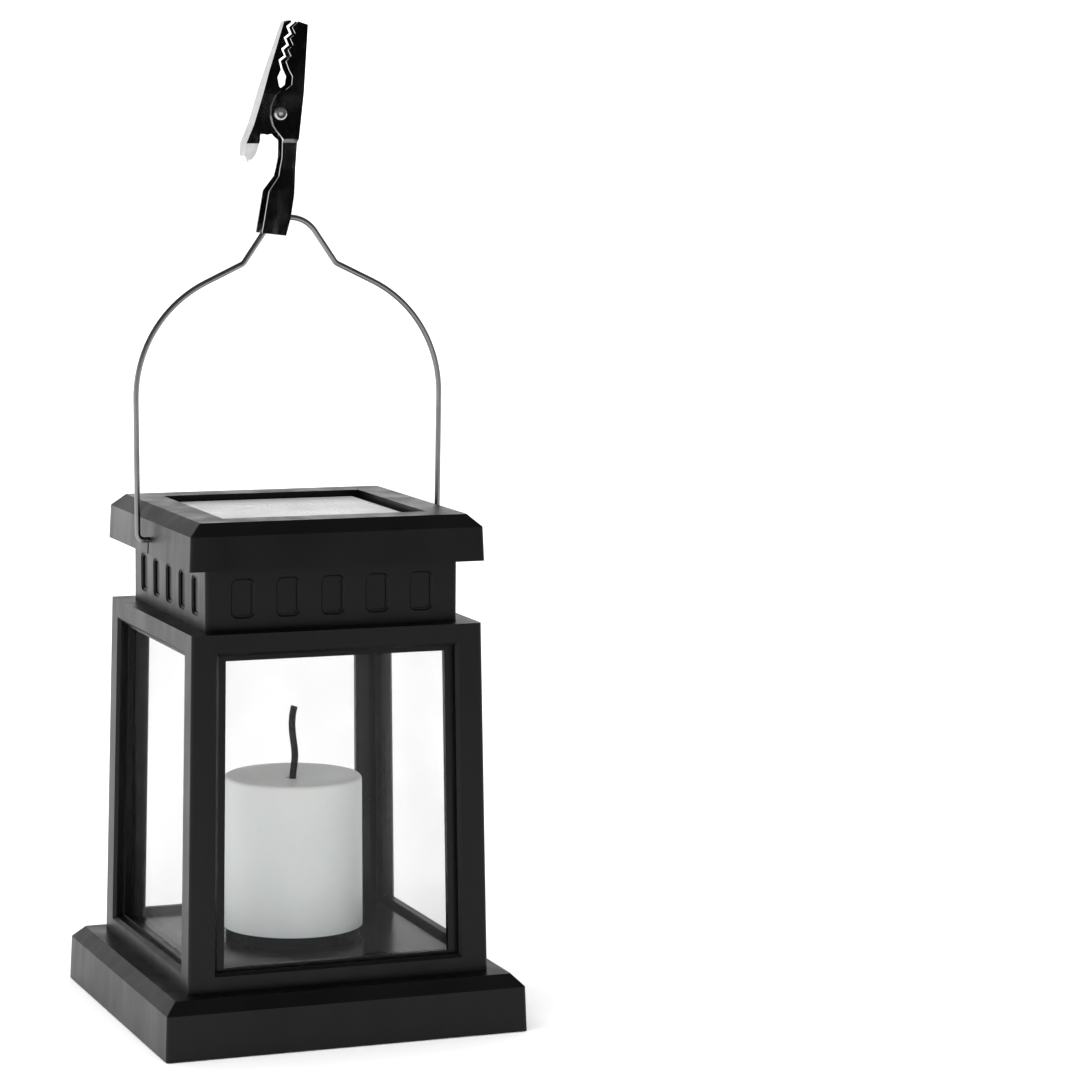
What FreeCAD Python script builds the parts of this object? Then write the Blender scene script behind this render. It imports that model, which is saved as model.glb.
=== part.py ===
import FreeCAD, Part
import Sketcher
import math
import os
from types import SimpleNamespace

from FreeCAD import Placement, Rotation, Vector

# Solar garden light: a square candle lantern with a solar lid, hung from a wire bail and an alligator clip.
# Millimetres. +Z is up, the front faces -Y, and the origin is the centre of the underside.

doc = FreeCAD.newDocument("SolarLantern")

# --- Driving dimensions -------------------------------------------------------------------------

DIMENSIONS = (
    # foot
    ("base_half", 40.0, "foot, half width at the floor"),
    ("base_brow_half", 39.65, "foot, half width under the bevel"),
    ("base_top_half", 37.1, "foot, half width above the bevel"),
    ("base_brow_z", 9.5, "height of the foot's bevel"),
    ("base_top_z", 12.1, "top of the foot's deck"),
    ("base_wall", 1.9, "foot, wall and deck"),
    ("plinth_half", 28.2, "raised floor of the lamp room, half width"),
    ("floor_z", 15.6, "raised floor of the lamp room"),
    ("floor_plate", 1.5, "raised floor, thickness"),
    ("cover_plate", 2.0, "underside cover, thickness"),
    ("cover_half", 37.9, "underside cover, half width"),
    ("cover_gap", 0.1, "gap round the underside cover and the battery door"),
    ("corner_round", 0.8, "rounding of the moulded corners"),
    # frame with the windows
    ("cage_foot_half", 33.3, "frame, half width at the foot"),
    ("cage_top_half", 31.9, "frame, half width at the shoulder"),
    ("cage_top_z", 87.4, "frame, shoulder height"),
    ("cage_wall", 3.4, "frame, wall behind its face"),
    ("cage_ceiling", 1.8, "frame, thickness of the plate under the neck"),
    ("lead_way_near", 27.3, "way for the panel's leads in the back left post, inner side"),
    ("lead_way_far", 31.0, "way for the panel's leads in the back left post, outer side"),
    ("lead_turn_near", 26.4, "the same way above the window, inner side"),
    ("ceiling_hole_half", 19.5, "frame, hole in the plate under the neck, half width"),
    ("window_foot_half", 26.9, "window opening, half width at the sill"),
    ("window_head_half", 26.0, "window opening, half width at the head"),
    ("sill_z", 16.2, "window opening, sill height"),
    ("head_z", 82.8, "window opening, head height"),
    ("reveal", 2.0, "depth of the window's first step"),
    ("reveal_bevel", 0.7, "bevel round the window opening"),
    ("lip_foot_half", 25.0, "window's inner lip, half width at the sill"),
    ("lip_head_half", 24.1, "window's inner lip, half width at the head"),
    ("lip_sill_z", 16.9, "window's inner lip, sill height"),
    ("lip_head_z", 81.6, "window's inner lip, head height"),
    ("pane", 1.0, "clear pane, thickness"),
    ("pane_gap", 0.08, "gap between pane and frame"),
    ("pane_foot_z", 12.6, "clear pane, lower edge"),
    ("pane_head_z", 83.0, "clear pane, upper edge"),
    ("pane_half", 28.0, "clear pane, half width at the lower edge"),
    ("pane_taper", 1.2, "clear pane, how much narrower each side is at the top"),
    # neck
    ("neck_half", 27.75, "neck, half width"),
    ("neck_wall", 2.2, "neck, wall"),
    ("neck_floor", 1.8, "neck, bottom plate"),
    ("neck_top_z", 104.9, "neck, top edge inside the lid"),
    ("slot_wide", 5.2, "neck slot, width"),
    ("slot_tall", 8.4, "neck slot, height"),
    ("slot_round", 1.5, "neck slot, corner radius"),
    ("slot_rim", 0.55, "neck slot, width of the step round it"),
    ("slot_step", 0.3, "neck slot, depth of the step"),
    ("slot_deep", 0.6, "neck slot, depth of the floor"),
    ("slot_slope", 45.0, "neck slot, slope of the step's walls in degrees"),
    ("slot_pitch", 9.85, "neck slots, spacing"),
    ("slot_mid_z", 94.2, "neck slots, middle height"),
    # lid
    ("lid_foot_z", 100.7, "lid, lower edge"),
    ("lid_half", 32.4, "lid, half width at the lower edge"),
    ("lid_brow_half", 32.1, "lid, half width under the bevel"),
    ("lid_top_half", 29.35, "lid, half width at the top"),
    ("lid_brow_z", 107.9, "lid, height of the bevel"),
    ("lid_top_z", 110.5, "lid, top"),
    ("lid_wall", 1.8, "lid, skirt wall"),
    ("recess_half", 22.5, "panel recess, half width"),
    ("recess_floor_z", 106.9, "panel recess, floor"),
    ("lid_ceiling_z", 105.1, "lid, underside of the panel recess"),
    ("panel_half", 20.6, "solar panel, half width"),
    ("panel_top_z", 109.3, "solar panel, top"),
    ("panel_board", 0.8, "solar panel, backing board"),
    ("cell_sheet", 0.3, "solar cells, thickness"),
    ("cell_gap", 0.6, "gap between the cell strips"),
    ("gasket_top_z", 108.8, "panel border, top"),
    ("gasket_gap", 0.1, "gap on each side of the panel border"),
    # bail
    ("wire_dia", 1.2, "bail wire, diameter"),
    ("bail_pivot_z", 103.8, "bail pivot, height"),
    ("bail_hole_dia", 1.3, "bail pivot hole, diameter"),
    ("bail_slot", 0.9, "snap-in slot under the pivot hole, width"),
    ("bail_side_play", -0.7, "bail, sideways shift in its holes"),
    ("bail_end_half", 29.5, "bail, tip of the bent-in end"),
    ("bail_foot_half", 33.9, "bail, leg at the pivot"),
    ("bail_leg_half", 34.3, "bail, leg under the shoulder"),
    ("bail_leg_top_z", 134.0, "bail, top of the leg"),
    ("bail_shoulder", 27.0, "bail, shoulder radius"),
    ("bail_shoulder_turn", 64.5, "bail, turn of the shoulder in degrees"),
    ("bail_kink_half", 10.4, "bail, kink beside the crown"),
    ("bail_bend", 1.6, "bail, radius of the small bends"),
    ("crown_z", 172.25, "bail, top of the crown"),
    ("crown_radius", 6.9, "bail, radius of the crown"),
    # candle
    ("candle_foot_z", 18.0, "candle, lower edge"),
    ("candle_top_z", 51.0, "candle, top"),
    ("candle_foot_radius", 15.35, "candle, radius at the foot"),
    ("candle_top_radius", 15.1, "candle, radius at the top"),
    ("candle_wall", 1.6, "candle, wall"),
    ("candle_round", 0.9, "candle, rounding of the top edge"),
    ("candle_dish", 0.7, "candle, depth of the dished top"),
    ("wick_dia", 1.5, "wick, diameter"),
    ("wick_hole_dia", 3.2, "dimple round the wick, diameter"),
    ("holder_radius", 14.6, "candle holder, radius"),
    ("lug_radius", 1.3, "candle holder, radius of the four lugs"),
    ("led_dia", 5.0, "lamp, diameter"),
    ("led_foot_z", 20.2, "lamp, height of its flange"),
    # electrics in the foot
    ("cell_dia", 10.5, "battery, diameter"),
    ("cell_long", 44.5, "battery, length with its button"),
    ("cell_mid_y", 16.0, "battery, place behind the middle"),
    ("cell_mid_z", 7.95, "battery, height of its axis"),
    ("board_thick", 1.2, "circuit board, thickness"),
    ("board_foot_z", 7.6, "circuit board, underside"),
    ("board_half_x", 17.0, "circuit board, half length"),
    ("board_half_y", 10.0, "circuit board, half width"),
    ("board_mid_y", -17.0, "circuit board, place in front of the middle"),
    ("switch_mid_y", -20.0, "switch, place in front of the middle"),
    ("switch_travel", 2.5, "switch knob, travel"),
    # alligator clip, in the bail's plane
    ("rivet_x", -3.7, "clip rivet, sideways place"),
    ("rivet_z", 194.35, "clip rivet, height"),
    ("rivet_dia", 1.9, "clip rivet, diameter"),
    ("clip_sheet", 0.45, "clip, sheet thickness"),
    ("clip_wide", 5.9, "clip, width of the long jaw at the rivet"),
    ("clip_tip_wide", 2.2, "clip, width of both jaws at the tip"),
    ("short_wide", 4.8, "clip, width of the short jaw at the rivet"),
    ("tail_wide", 5.0, "clip, width of the tail"),
    ("neck_wide", 3.6, "clip, width between rivet and tail"),
    ("tooth_tall", 0.95, "clip, tooth height"),
    # screws
    ("screw_dia", 2.2, "screws, thread diameter"),
    ("screw_head_dia", 4.0, "screws, head diameter"),
    ("screw_head", 1.4, "screws, head height"),
    ("screw_slack", 0.01, "radial gap between a screw and its hole"),
)


class Size:
    """A number together with the spreadsheet expression that gives it."""

    def __init__(self, value, text):
        self.value = value
        self.text = text

    def __float__(self):
        return float(self.value)

    def __add__(self, other):
        return Size(float(self) + float(other), f"({self.text} + {text_of(other)})")

    def __radd__(self, other):
        return Size(float(other) + float(self), f"({text_of(other)} + {self.text})")

    def __sub__(self, other):
        return Size(float(self) - float(other), f"({self.text} - {text_of(other)})")

    def __rsub__(self, other):
        return Size(float(other) - float(self), f"({text_of(other)} - {self.text})")

    def __mul__(self, other):
        return Size(float(self) * float(other), f"({self.text} * {text_of(other)})")

    def __rmul__(self, other):
        return Size(float(other) * float(self), f"({text_of(other)} * {self.text})")

    def __truediv__(self, other):
        return Size(float(self) / float(other), f"({self.text} / {text_of(other)})")

    def __neg__(self):
        return Size(-float(self), f"(0 - {self.text})")


def text_of(number):
    """The expression of a Size, or a plain number as text."""
    return number.text if isinstance(number, Size) else repr(float(number))


def fill_sheet():
    """Writes the driving dimensions into the spreadsheet and returns them as Sizes."""
    sheet = doc.addObject("Spreadsheet::Sheet", "Dims")
    for row, (alias, value, note) in enumerate(DIMENSIONS, start=1):
        sheet.set(f"A{row}", note)
        sheet.set(f"B{row}", str(value))
        sheet.setAlias(f"B{row}", alias)
    doc.recompute()
    return SimpleNamespace(**{alias: Size(value, f"Dims.{alias}") for alias, value, _ in DIMENSIONS})


D = fill_sheet()


# --- Small helpers ------------------------------------------------------------------------------

FINISHED = []


def bind(obj, prop, size):
    """Sets a property, and ties it to the spreadsheet when it comes from there."""
    setattr(obj, prop, float(size))
    if isinstance(size, Size):
        obj.setExpression(prop, size.text)


def finish(obj, label):
    """Labels a finished sub-part, whose label is also its file's name."""
    obj.Label = label
    FINISHED.append(obj)
    doc.recompute()
    return obj


def new_body(name):
    """An empty body."""
    return doc.addObject("PartDesign::Body", name + "_body")


def origin_plane(body, role):
    """One of the body's own origin planes."""
    return next(f for f in body.Origin.OriginFeatures if f.Role == role)


def new_sketch(body, role, name, offset=0.0, lean=None):
    """A sketch on an origin plane, moved along the plane's normal and leant back about its own X axis."""
    sketch = body.newObject("Sketcher::SketchObject", name)
    sketch.AttachmentSupport = [(origin_plane(body, role), "")]
    sketch.MapMode = "FlatFace"
    turn = Rotation(Vector(1, 0, 0), -float(lean) if lean is not None else 0.0)
    sketch.AttachmentOffset = Placement(Vector(0, 0, float(offset)), turn)
    if isinstance(offset, Size):
        sketch.setExpression("AttachmentOffset.Base.z", offset.text)
    if isinstance(lean, Size):
        sketch.setExpression("AttachmentOffset.Rotation.Angle", f"({lean.text}) * -1")
    return sketch


def pin_point(sketch, geometry, end, across, up):
    """Ties a point of a sketch to its two coordinates."""
    for kind, axis, size in (("DistanceX", -2, across), ("DistanceY", -1, up)):
        if abs(float(size)) < 1e-9:
            sketch.addConstraint(Sketcher.Constraint("PointOnObject", geometry, end, axis))
            continue
        index = sketch.addConstraint(Sketcher.Constraint(kind, -1, 1, geometry, end, float(size)))
        if isinstance(size, Size):
            sketch.setExpression(f"Constraints[{index}]", size.text)


def draw_polygon(sketch, corners):
    """A closed outline through the corners, each tied to its coordinates."""
    first = sketch.GeometryCount
    count = len(corners)
    points = [Vector(float(a), float(b), 0) for a, b in corners]
    for i in range(count):
        sketch.addGeometry(Part.LineSegment(points[i], points[(i + 1) % count]), False)
    for i in range(count):
        following = first + (i + 1) % count
        sketch.addConstraint(Sketcher.Constraint("Coincident", first + i, 2, following, 1))
    for i, (across, up) in enumerate(corners):
        pin_point(sketch, first + i, 1, across, up)


def draw_box(sketch, low_x, high_x, low_y, high_y):
    """A rectangle between four coordinates."""
    draw_polygon(sketch, [(low_x, low_y), (high_x, low_y), (high_x, high_y), (low_x, high_y)])


def draw_circle(sketch, across, up, diameter):
    """A circle tied to its centre and diameter."""
    circle = Part.Circle(Vector(float(across), float(up), 0), Vector(0, 0, 1), float(diameter) / 2)
    index = sketch.addGeometry(circle, False)
    pin_point(sketch, index, 3, across, up)
    constraint = sketch.addConstraint(Sketcher.Constraint("Diameter", index, float(diameter)))
    if isinstance(diameter, Size):
        sketch.setExpression(f"Constraints[{constraint}]", diameter.text)


def draw_rounded(sketch, across, up, wide, tall, radius):
    """A rectangle with rounded corners, tied to its middle, its size and its radius."""
    left, right = float(across - wide / 2), float(across + wide / 2)
    low, high = float(up - tall / 2), float(up + tall / 2)
    bend = float(radius)
    centres = [
        Vector(left + bend, low + bend), Vector(right - bend, low + bend),
        Vector(right - bend, high - bend), Vector(left + bend, high - bend),
    ]
    first = sketch.GeometryCount
    for i, centre in enumerate(centres):
        start = math.radians(180 + 90 * i)
        stop = start + math.pi / 2
        arc = Part.ArcOfCircle(Part.Circle(centre, Vector(0, 0, 1), bend), start, stop)
        sketch.addGeometry(arc, False)
        out = Vector(math.cos(stop), math.sin(stop)) * bend
        sketch.addGeometry(Part.LineSegment(centre + out, centres[(i + 1) % 4] + out), False)
    for i in range(4):
        arc, line, following = first + 2 * i, first + 2 * i + 1, first + (2 * i + 2) % 8
        sketch.addConstraint(Sketcher.Constraint("Tangent", arc, 2, line, 1))
        sketch.addConstraint(Sketcher.Constraint("Tangent", line, 2, following, 1))
        if i:
            sketch.addConstraint(Sketcher.Constraint("Equal", first, arc))
    sketch.addConstraint(Sketcher.Constraint("Horizontal", first + 1))
    sketch.addConstraint(Sketcher.Constraint("Vertical", first + 3))
    index = sketch.addConstraint(Sketcher.Constraint("Radius", first, bend))
    if isinstance(radius, Size):
        sketch.setExpression(f"Constraints[{index}]", radius.text)
    pin_point(sketch, first, 3, across - wide / 2 + radius, up - tall / 2 + radius)
    pin_point(sketch, first + 4, 3, across + wide / 2 - radius, up + tall / 2 - radius)


def extrude(body, kind, sketch, length, name, midplane=False, reverse=False, through=False):
    """A Pad or a Pocket of a sketch."""
    feature = body.newObject("PartDesign::" + kind, name)
    feature.Profile = sketch
    feature.Midplane = midplane
    feature.Reversed = reverse
    if through:
        feature.Type = "ThroughAll"
    else:
        bind(feature, "Length", length)
    sketch.Visibility = False
    doc.recompute()
    return feature


def cut(body, sketch, length, name, **options):
    """A Pocket, which has to take material away."""
    before = body.Shape.Volume
    feature = extrude(body, "Pocket", sketch, length, name, **options)
    if not body.Shape.Volume < before - 1e-3:
        raise RuntimeError(f"{name} cut nothing")
    return feature


def pad(body, sketch, length, name, **options):
    """A Pad, which has to add material."""
    before = body.Shape.Volume if body.Shape.Solids else 0.0
    feature = extrude(body, "Pad", sketch, length, name, **options)
    if not body.Shape.Volume > before + 1e-3:
        raise RuntimeError(f"{name} added nothing")
    return feature


def slope_of(low_half, low_z, high_half, high_z):
    """How much a wall leans in for each millimetre of height."""
    return (low_half - high_half) / (high_z - low_z)


def angle_of(slope):
    """The lean in degrees of a slope."""
    return Size(math.degrees(math.atan(float(slope))), f"atan({slope.text})")


def side_faces(shape, reach, inside):
    """Names of the upright faces outside a distance from the axis, or inside it."""
    names = []
    for i, face in enumerate(shape.Faces, start=1):
        middle = face.BoundBox.Center
        beyond = max(abs(middle.x), abs(middle.y)) > reach
        if face.BoundBox.ZLength > 0.1 and beyond != inside:
            names.append(f"Face{i}")
    return names


def lean_in(body, slope, name, reach, inside=False):
    """A Draft that leans the side faces in towards the axis, about the plane through the origin."""
    base = body.Tip
    feature = body.newObject("PartDesign::Draft", name)
    feature.Base = (base, side_faces(base.Shape, reach, inside))
    feature.NeutralPlane = (origin_plane(body, "XY_Plane"), [""])
    feature.Reversed = inside
    bind(feature, "Angle", angle_of(slope))
    doc.recompute()
    return feature


def leaning_block(body, low_half, low_z, slope, high_z, name):
    """A square block whose sides lean in, given its half width at the lower edge."""
    outline = new_sketch(body, "XY_Plane", name + "_outline", low_z)
    half = low_half + slope * low_z
    draw_box(outline, -half, half, -half, half)
    pad(body, outline, high_z - low_z, name)
    lean_in(body, slope, name + "_lean", 0.0)


def tapered_pad(body, low_half, low_z, high_half, high_z, name):
    """A square pad that narrows between two heights."""
    outline = new_sketch(body, "XY_Plane", name + "_outline", low_z)
    draw_box(outline, -low_half, low_half, -low_half, low_half)
    feature = pad(body, outline, high_z - low_z, name)
    bind(feature, "TaperAngle", angle_of(slope_of(low_half, low_z, high_half, high_z)) * -1)
    doc.recompute()
    return feature


def pattern(body, features, count, name):
    """The features repeated round the upright axis."""
    turned = body.newObject("PartDesign::PolarPattern", name)
    turned.Originals = features
    turned.Axis = (next(f for f in body.Origin.OriginFeatures if f.Role == "Z_Axis"), [""])
    turned.Angle = 360
    turned.Occurrences = count
    body.Tip = turned
    doc.recompute()
    return turned


def dress(body, kind, size, name, wanted):
    """A Fillet or Chamfer of the edges that a test picks from the body so far."""
    base = body.Tip
    edges = [f"Edge{i}" for i, edge in enumerate(base.Shape.Edges, start=1) if wanted(edge)]
    if not edges:
        raise RuntimeError(f"{name} found no edge")
    feature = body.newObject("PartDesign::" + kind, name)
    feature.Base = (base, edges)
    bind(feature, "Radius" if kind == "Fillet" else "Size", size)
    doc.recompute()
    return feature


def is_corner_edge(edge, low_z, high_z, reach):
    """True for an upright or slanted edge on the outside diagonal, between two heights."""
    box = edge.BoundBox
    middle = box.Center
    upright = box.ZLength > 0.5 and abs(abs(middle.x) - abs(middle.y)) < 0.3
    return upright and abs(middle.x) > reach and box.ZMin > low_z - 0.01 and box.ZMax < high_z + 0.01


def cylinder(name, diameter, low_z, high_z, across=0.0, along=0.0):
    """An upright Part cylinder."""
    solid = doc.addObject("Part::Cylinder", name)
    bind(solid, "Radius", diameter / 2)
    bind(solid, "Height", high_z - low_z)
    solid.Placement.Base = Vector(float(across), float(along), float(low_z))
    if isinstance(low_z, Size):
        solid.setExpression("Placement.Base.z", low_z.text)
    return solid


def box(name, low, high):
    """A Part box between two corners."""
    solid = doc.addObject("Part::Box", name)
    for axis, prop, a, b in zip("xyz", ("Length", "Width", "Height"), low, high):
        bind(solid, prop, b - a)
        setattr(solid.Placement.Base, axis, float(a))
    solid.Placement.Base = Vector(*[float(a) for a in low])
    for axis, a in zip("xyz", low):
        if isinstance(a, Size):
            solid.setExpression("Placement.Base." + axis, a.text)
    return solid


def fuse(name, shapes):
    """The union of several objects."""
    joined = doc.addObject("Part::MultiFuse", name)
    joined.Shapes = shapes
    joined.Refine = True
    doc.recompute()
    return joined


def subtract(name, base, tool):
    """One object with another taken away."""
    result = doc.addObject("Part::Cut", name)
    result.Base = base
    result.Tool = tool
    result.Refine = True
    doc.recompute()
    return result


def gather(name, shapes):
    """Several separate solids kept side by side in one sub-part."""
    group = doc.addObject("Part::Compound", name)
    group.Links = shapes
    doc.recompute()
    return group


def rounded_path(points, radii):
    """A wire of straight runs through the points, joined by tangent arcs at the inner ones."""
    edges = []
    start = points[0]
    for before, corner, after, radius in zip(points, points[1:], points[2:], radii):
        into = (corner - before).normalize()
        out = (after - corner).normalize()
        turn = into.getAngle(out)
        reach = radius * math.tan(turn / 2)
        enter = corner - into * reach
        leave = corner + out * reach
        inward = (out - into).normalize()
        middle = corner + inward * (radius / math.cos(turn / 2) - radius)
        if (enter - start).Length > 1e-6:
            edges.append(Part.LineSegment(start, enter).toShape())
        edges.append(Part.Arc(enter, middle, leave).toShape())
        start = leave
    edges.append(Part.LineSegment(start, points[-1]).toShape())
    return Part.Wire(edges)


def lead_solid(points, radii, diameter):
    """A round lead swept along its route."""
    route = rounded_path(points, radii)
    first = route.Edges[0]
    ring = Part.makeCircle(diameter / 2, points[0], first.tangentAt(first.FirstParameter))
    lead = Part.Wire([ring])
    solid = route.makePipeShell([lead], True, False)
    expected = math.pi * diameter ** 2 / 4 * route.Length
    if abs(solid.Volume - expected) > 0.02 * expected:
        raise RuntimeError("a lead's volume doesn't match its section times its length")
    return solid


def shape_feature(name, shape, place=Placement()):
    """A feature that holds a shape made with Part's own functions, set down at its place."""
    feature = doc.addObject("Part::Feature", name)
    feature.Shape = shape
    feature.Placement = place
    doc.recompute()
    return feature


# --- Places shared by several sub-parts ---------------------------------------------------------

CORNERS = ((1, 1), (-1, 1), (-1, -1), (1, -1))
SIDES = ((1, 0), (0, 1), (-1, 0), (0, -1))
COVER_SCREW_REACH = 33.0
CAGE_SCREW_REACH = 31.1
ROOF_SCREW_REACH = 22.6
BOSS_DIA = 5.2
SWITCH_DISH = (6.5, 4.4)
SWITCH_SHELF_Z = 3.8
BOARD_SCREW_X = 14.0
BOARD_SCREW_Y = -5.5
DOOR_SCREW_X = 28.6
LEAD_HOLE = (-18.0, 18.0)
LEAD_HOLE_DIA = 2.8
LEAD_DIA = 0.95
PANEL_LEAD_X = (-10.4, -7.5)
PANEL_LEAD_Y = -19.0
LEAD_POST = (-29.85, 29.85)

cage_slope = slope_of(D.cage_foot_half, D.base_top_z, D.cage_top_half, D.cage_top_z)
cage_lean = angle_of(cage_slope)
base_hollow_z = D.base_top_z - D.base_wall
plinth_hollow_half = D.plinth_half - D.floor_plate
screw_hole = D.screw_dia + 2 * D.screw_slack


def cage_half_at(height, inset=0.0):
    """Half width of the tapered frame at a height, less an inset from its face."""
    return D.cage_foot_half - cage_slope * (height - D.base_top_z) - inset


# --- Foot ---------------------------------------------------------------------------------------

def make_base_shell():
    """The foot: a shallow tray open below, with the lamp room's raised floor on its deck."""
    body = new_body("base_shell")
    tapered_pad(body, D.base_half, 0.0, D.base_brow_half, D.base_brow_z, "foot")
    tapered_pad(body, D.base_brow_half, D.base_brow_z, D.base_top_half, D.base_top_z, "foot_bevel")
    dress(
        body, "Fillet", D.corner_round, "foot_corners",
        lambda e: is_corner_edge(e, 0, float(D.base_top_z), float(D.plinth_half)),
    )
    plinth = new_sketch(body, "XY_Plane", "plinth_outline", D.base_top_z - 0.5)
    draw_box(plinth, -D.plinth_half, D.plinth_half, -D.plinth_half, D.plinth_half)
    pad(body, plinth, D.floor_z - D.base_top_z + 0.5, "plinth")
    hollow = new_sketch(body, "XY_Plane", "foot_hollow_outline")
    hollow_half = D.base_brow_half - D.base_wall
    draw_box(hollow, -hollow_half, hollow_half, -hollow_half, hollow_half)
    cut(body, hollow, base_hollow_z, "foot_hollow", reverse=True)
    rim = new_sketch(body, "XY_Plane", "cover_seat_outline")
    seat_half = D.cover_half + D.cover_gap
    draw_box(rim, -seat_half, seat_half, -seat_half, seat_half)
    cut(body, rim, D.cover_plate, "cover_seat", reverse=True)
    under_floor = new_sketch(body, "XY_Plane", "floor_hollow_outline", D.floor_z - D.floor_plate)
    draw_box(under_floor, -plinth_hollow_half, plinth_hollow_half, -plinth_hollow_half, plinth_hollow_half)
    cut(body, under_floor, D.floor_z - D.floor_plate, "floor_hollow")
    bosses = new_sketch(body, "XY_Plane", "cover_boss_outline", base_hollow_z + 0.5)
    for x, y in CORNERS:
        draw_circle(bosses, x * COVER_SCREW_REACH, y * COVER_SCREW_REACH, BOSS_DIA)
    pad(body, bosses, base_hollow_z + 0.5 - D.cover_plate, "cover_bosses", reverse=True)
    pilots = new_sketch(body, "XY_Plane", "cover_pilot_outline", D.cover_plate + 6.0)
    for x, y in CORNERS:
        draw_circle(pilots, x * COVER_SCREW_REACH, y * COVER_SCREW_REACH, screw_hole)
    cut(body, pilots, 7.0, "cover_pilots")
    holes = new_sketch(body, "XY_Plane", "deck_holes_outline", D.base_top_z + 0.5)
    for x, y in SIDES:
        draw_circle(holes, x * CAGE_SCREW_REACH, y * CAGE_SCREW_REACH, screw_hole)
    draw_circle(holes, *LEAD_POST, LEAD_HOLE_DIA)
    cut(body, holes, D.base_wall + 1.0, "deck_holes")
    led_way = new_sketch(body, "XY_Plane", "led_way_outline", D.floor_z + 0.5)
    draw_box(led_way, -2.4, 2.4, -1.2, 1.2)
    cut(body, led_way, D.floor_plate + 1.0, "led_way")
    finish(body, "base_shell")


def make_base_cover():
    """The underside cover, with the battery's tub, the switch's dish and the board's posts."""
    body = new_body("base_cover")
    plate = new_sketch(body, "XY_Plane", "cover_outline")
    draw_box(plate, -D.cover_half, D.cover_half, -D.cover_half, D.cover_half)
    pad(body, plate, D.cover_plate, "cover")
    tub_half_x = D.cell_long / 2 + 2.9
    tub_half_y = D.cell_dia / 2 + 0.3
    tub = new_sketch(body, "XY_Plane", "battery_tub_outline", D.cover_plate - 0.5)
    wall = 1.2
    draw_box(tub, -tub_half_x - wall, tub_half_x + wall,
             D.cell_mid_y - tub_half_y - wall, D.cell_mid_y + tub_half_y + wall)
    pad(body, tub, 8.0, "battery_tub")
    inside = new_sketch(body, "XY_Plane", "battery_tub_inside", 12.0)
    draw_box(inside, -tub_half_x, tub_half_x, D.cell_mid_y - tub_half_y, D.cell_mid_y + tub_half_y)
    cut(body, inside, None, "battery_tub_hollow", through=True)
    seat = new_sketch(body, "XY_Plane", "door_seat_outline")
    draw_box(seat, -tub_half_x - 1.0, tub_half_x + 7.0,
             D.cell_mid_y - tub_half_y - 1.0, D.cell_mid_y + tub_half_y + 1.0)
    cut(body, seat, 1.3, "door_seat", reverse=True)
    shelf = new_sketch(body, "XY_Plane", "switch_shelf_outline", D.cover_plate - 0.5)
    dish_x, dish_y = SWITCH_DISH
    draw_box(shelf, -dish_x - 1.3, dish_x + 1.3, D.switch_mid_y - dish_y - 1.3, D.switch_mid_y + dish_y + 1.3)
    pad(body, shelf, SWITCH_SHELF_Z - D.cover_plate + 0.5, "switch_shelf")
    dish = new_sketch(body, "XY_Plane", "switch_dish_outline")
    draw_box(dish, -dish_x, dish_x, D.switch_mid_y - dish_y, D.switch_mid_y + dish_y)
    cut(body, dish, SWITCH_SHELF_Z - 1.3, "switch_dish", reverse=True)
    way = new_sketch(body, "XY_Plane", "knob_way_outline")
    draw_box(way, -3.0, 3.0, D.switch_mid_y - 1.3, D.switch_mid_y + 1.3)
    cut(body, way, SWITCH_SHELF_Z + 1.0, "knob_way", reverse=True)
    posts = new_sketch(body, "XY_Plane", "board_posts_outline", D.cover_plate - 0.5)
    for side in (-1, 1):
        draw_circle(posts, side * BOARD_SCREW_X, D.board_mid_y + BOARD_SCREW_Y, 4.6)
    pad(body, posts, D.board_foot_z - D.cover_plate + 0.5, "board_posts")
    pilots = new_sketch(body, "XY_Plane", "board_pilots_outline", D.board_foot_z)
    for side in (-1, 1):
        draw_circle(pilots, side * BOARD_SCREW_X, D.board_mid_y + BOARD_SCREW_Y, screw_hole)
    cut(body, pilots, 4.5, "board_pilots")
    screws = new_sketch(body, "XY_Plane", "cover_holes_outline")
    for x, y in CORNERS:
        draw_circle(screws, x * COVER_SCREW_REACH, y * COVER_SCREW_REACH, screw_hole)
    draw_circle(screws, DOOR_SCREW_X, D.cell_mid_y, screw_hole)
    cut(body, screws, D.cover_plate + 1.0, "cover_holes", reverse=True)
    heads = new_sketch(body, "XY_Plane", "cover_head_seats")
    for x, y in CORNERS:
        draw_circle(heads, x * COVER_SCREW_REACH, y * COVER_SCREW_REACH, D.screw_head_dia + 0.3)
    cut(body, heads, D.screw_head, "head_seats", reverse=True)
    dress(
        body, "Fillet", D.corner_round, "cover_corners",
        lambda e: is_corner_edge(e, 0, float(D.cover_plate), 37.0),
    )
    finish(body, "base_cover")


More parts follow.
